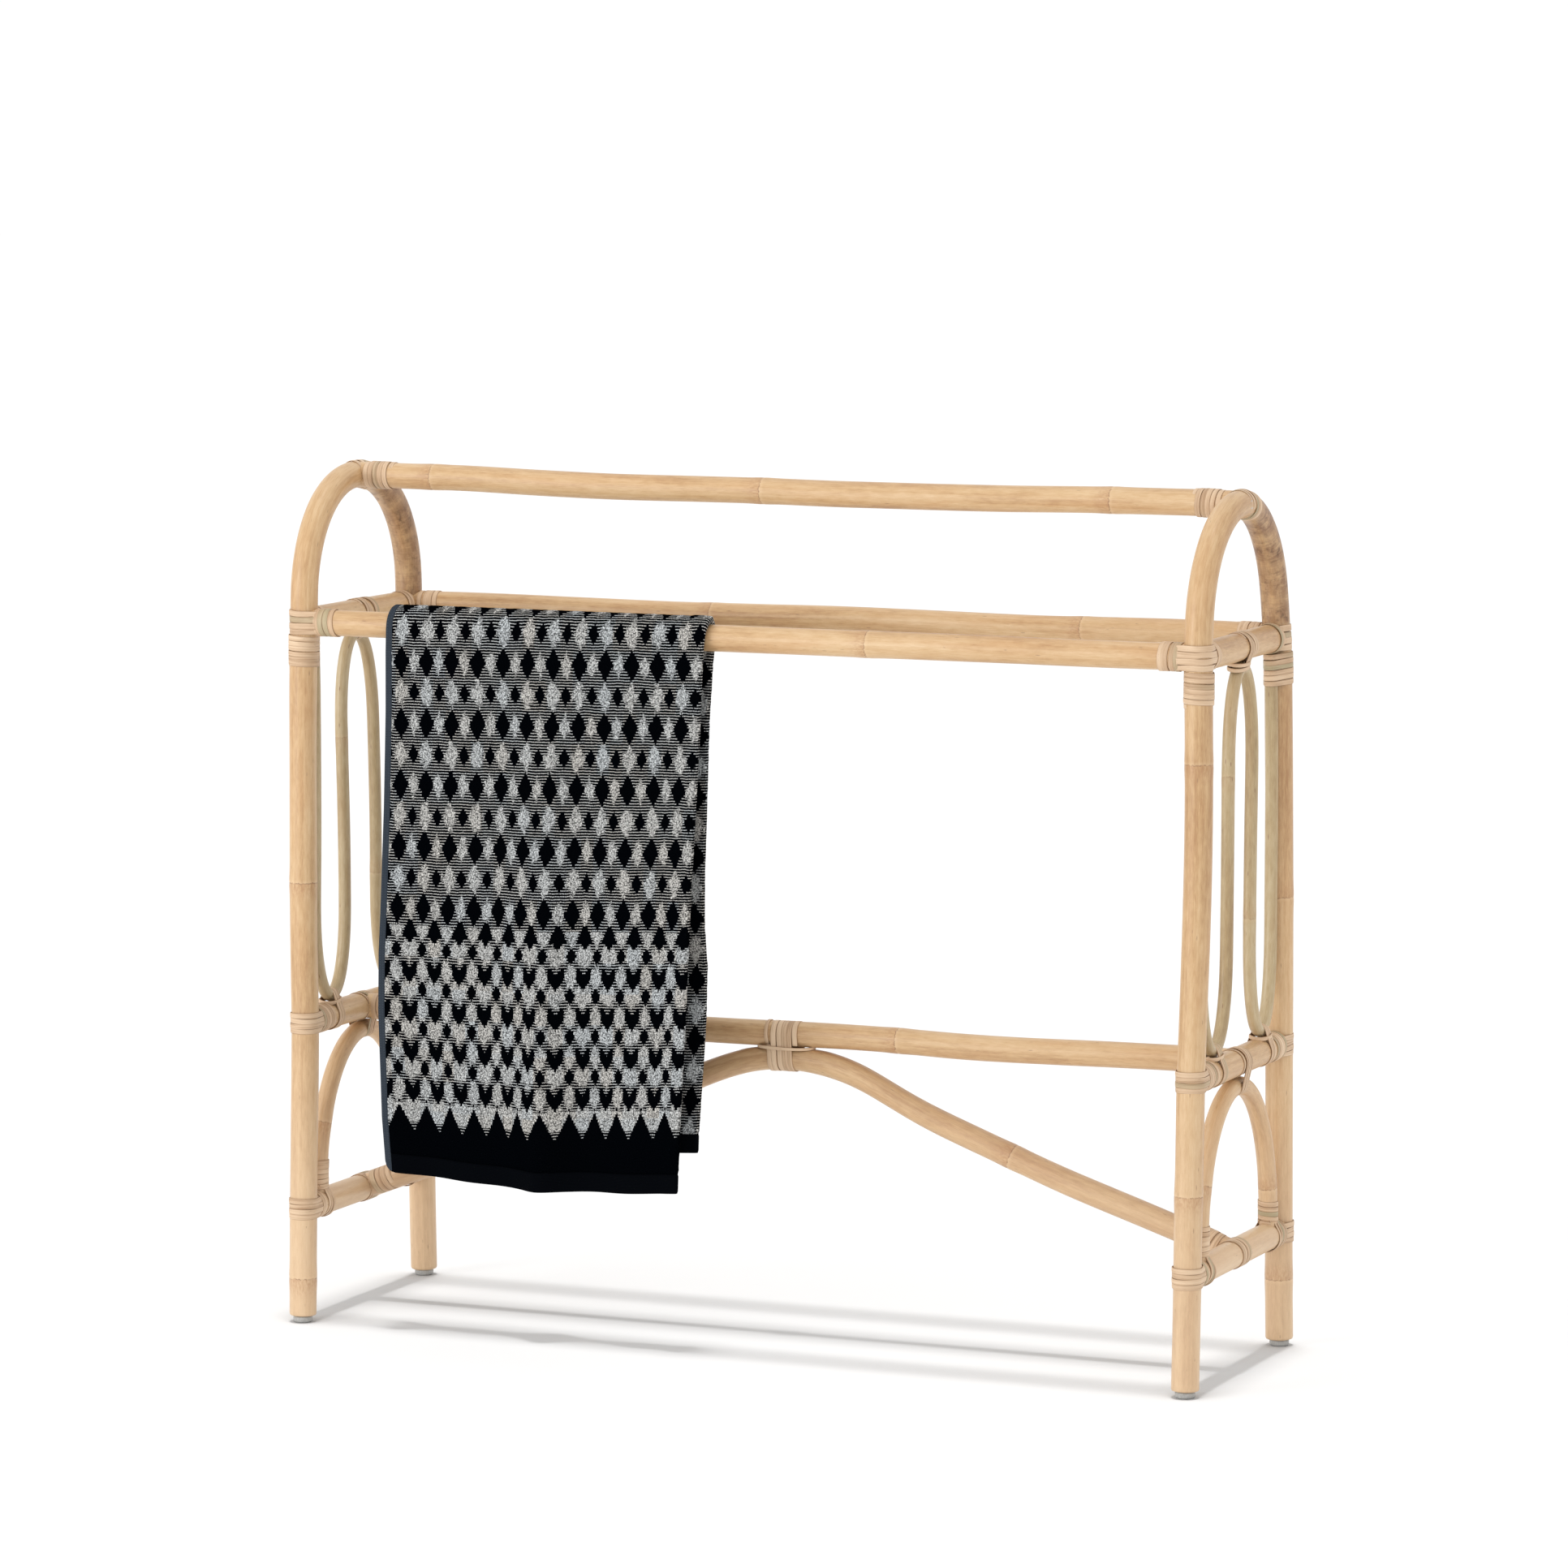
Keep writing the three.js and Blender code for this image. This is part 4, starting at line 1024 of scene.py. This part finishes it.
    # Each motif's yarn is a little warmer or cooler than the next.
    motif = chance(g.math("ROUND", g.mul(column, 2.0)), g.math("ROUND", g.math("DIVIDE", v, 0.0312)))
    yarn = g.ramp(motif, (0.0, (0.86, 0.83, 0.775)), (0.5, (0.86, 0.865, 0.845)), (1.0, (0.82, 0.865, 0.885)))
    shade = g.span(g.noise(flat, (1500, 1500, 1)), 0.3, 0.7, 0.70, 1.08)
    yarn = g.mix(1.0, yarn, g.node("ShaderNodeCombineColor", dict.fromkeys(range(3), shade)).outputs[0], "MULTIPLY")
    ground = g.ramp(pile, (0.35, (0.0002, 0.0004, 0.0009)), (0.8, (0.0018, 0.0024, 0.0034)))
    # Lint on the black border, next to the hem.
    lint = g.mul(g.more(pile, 0.83), g.span(flat_v, 0.010, 0.018), g.span(flat_v, 0.020, 0.034, 1, 0.25))
    ground = g.mix(g.mul(lint, 0.5), ground, (0.12, 0.12, 0.125))
    height = g.add(g.mul(amount, 0.9), g.mul(g.span(loops, 0.0, 0.7, 1.0, 0.0), 0.4), g.mul(pile, 0.4))
    return g.finish(g.mix(amount, ground, yarn), 0.95, g.bump(height, 0.0007, 0.5), Specular_IOR_Level=0.0)


def woven_material(name, dark, light, along_edge, stitches=()):
    """A flat-woven hem with fine ribs, and rows of stitching at some distances from its edge."""
    g = Graph(name)
    flat = g.attribute("grain", "Vector")
    u, v = g.parts(flat)[:2]
    edge = g.math("MINIMUM", u, g.math("SUBTRACT", FLAT_W, u))
    rib, weft = (edge, v) if along_edge else (v, edge)
    thread = g.math("SINE", g.mul(rib, 2 * math.pi / 0.0011))
    cross = g.math("SINE", g.mul(weft, 2 * math.pi / 0.0009))
    height = g.add(g.mul(thread, 0.5), g.mul(cross, 0.35), g.mul(g.noise(flat, (900, 900, 1), 3), 0.8))
    # The colour follows the weave's height: painted light on the raised threads, painted shade in the hollows between
    # them.
    colour = g.mix(g.span(height, -0.5, 1.2), dark, light)
    for at in stitches:
        run = g.span(g.absolute(g.add(edge, -at)), 0.0003, 0.0008, 1, 0, True)
        gaps = g.span(g.math("PINGPONG", g.math("DIVIDE", v, 0.0026), 0.5), 0.06, 0.16)
        stitch = g.mul(run, gaps)
        # Each stitch line's groove is painted darker, a painted shade, and its raised stitches are painted lighter.
        colour = g.mix(g.mul(run, 0.55), colour, dark)
        colour = g.mix(g.mul(stitch, 0.7), colour, light)
        height = g.add(height, g.mul(run, -1.5), g.mul(stitch, 1.8))
    return g.finish(colour, 0.85, g.bump(height, 0.00022, 0.8), Specular_IOR_Level=0.012)


def add_towel():
    step = 0.0042
    middle = FLAT_W / 2
    across = np.linspace(SELVEDGE - 0.001, FLAT_W - SELVEDGE + 0.001, round((FLAT_W - 2 * SELVEDGE) / step))
    across = across[np.abs(across - middle) > FOLD_HALF + step / 2]
    across = np.sort(np.concatenate([across, middle + np.linspace(-FOLD_HALF, FOLD_HALF, 13)]))
    front, over = np.arange(HEM, FRONT, step), FRONT + ARC * np.linspace(0, 1, 25)
    back = np.arange(FRONT + ARC + step, FLAT_L - HEM, step)
    along = np.sort(np.concatenate([front, over, back, [FLAT_L - HEM]]))
    body = Sheets()
    cloth_patch(body, across, along, TERRY_THICK, fuzz=0.0005)
    towel = body.piece("towel", terry_material(), "towel")

    whole = np.concatenate([np.linspace(0.0, HEM - 0.003, 9), along, FLAT_L - np.linspace(HEM - 0.003, 0.0, 9)])
    sides = Sheets()
    for edge in (np.linspace(0.0, SELVEDGE, 7), FLAT_W - np.linspace(SELVEDGE, 0.0, 7)):
        cloth_patch(sides, edge, whole, HEM_THICK, CORNER)
    slate = woven_material("side_hem", (0.016, 0.021, 0.029), (0.055, 0.068, 0.086), True, (0.0020, 0.0056))
    pieces = [sides.piece("towel_side_hem", slate, "towel")]

    plain = woven_material("end_hem", (0.0003, 0.0006, 0.0012), (0.0024, 0.0030, 0.0044), False)
    for name, low in (("towel_hem_front", 0.0), ("towel_hem_back", FLAT_L - HEM)):
        hem = Sheets()
        cloth_patch(hem, across, np.linspace(low, low + HEM, 9), HEM_THICK, CORNER)
        pieces.append(hem.piece(name, plain, "towel"))


# ---- camera, floor and light ----


def add_camera(scene):
    camera = bpy.data.objects.new("camera", bpy.data.cameras.new("camera"))
    camera.data.sensor_width = 36
    camera.data.lens = 151.96
    camera.data.clip_start, camera.data.clip_end = 0.1, 60
    camera.location = (2.63667, -6.15012, 1.34101)
    camera.rotation_euler = (math.radians(83.409), 0, math.radians(23.23))
    scene.collection.objects.link(camera)
    scene.camera = camera


def add_floor(scene):
    g = Graph("floor")
    colour = g.ramp(g.noise(g.place(), (0.8, 0.8, 0.8)), (0.0, (0.575, 0.575, 0.575)), (1.0, (0.585, 0.585, 0.585)))
    half = 30
    mesh = bpy.data.meshes.new("floor")
    mesh.from_pydata([(-half, -half, 0), (half, -half, 0), (half, half, 0), (-half, half, 0)], [], [(0, 1, 2, 3)])
    mesh.materials.append(g.finish(colour, 0.9, Specular_IOR_Level=0.0))
    floor = bpy.data.objects.new("floor", mesh)
    scene.collection.objects.link(floor)
    return floor


def add_lights(scene, floor):
    world = bpy.data.worlds.new("studio")
    world.use_nodes = True
    background = world.node_tree.nodes["Background"]
    background.inputs["Color"].default_value = (1, 1, 1, 1)
    background.inputs["Strength"].default_value = 1.02
    scene.world = world
    # Light from straight above; most of it reaches only the floor, to draw the soft shadow under the rack.
    ground = bpy.data.collections.new("ground")
    ground.objects.link(floor)
    for name, energy, receiver in (("overhead", 0.30, None), ("overhead_floor", 2.20, ground)):
        sun = bpy.data.objects.new(name, bpy.data.lights.new(name, "SUN"))
        sun.data.energy, sun.data.angle = energy, math.radians(5.2)
        sun.light_linking.receiver_collection = receiver
        scene.collection.objects.link(sun)
    # A big soft lamp in front, on the left.
    key = bpy.data.objects.new("key", bpy.data.lights.new("key", "AREA"))
    key.data.shape, key.data.size, key.data.energy = "DISK", 2.4, 95
    key.location = (-3.2, -4.6, 1.5)
    key.rotation_euler = (Vector((0, 0, 0.45)) - key.location).to_track_quat("-Z", "Y").to_euler()
    scene.collection.objects.link(key)
    scene.view_settings.view_transform = "Standard"


add_poles()
add_bindings()
add_hardware()
add_towel()
stage = bpy.context.scene
add_camera(stage)
add_lights(stage, add_floor(stage))
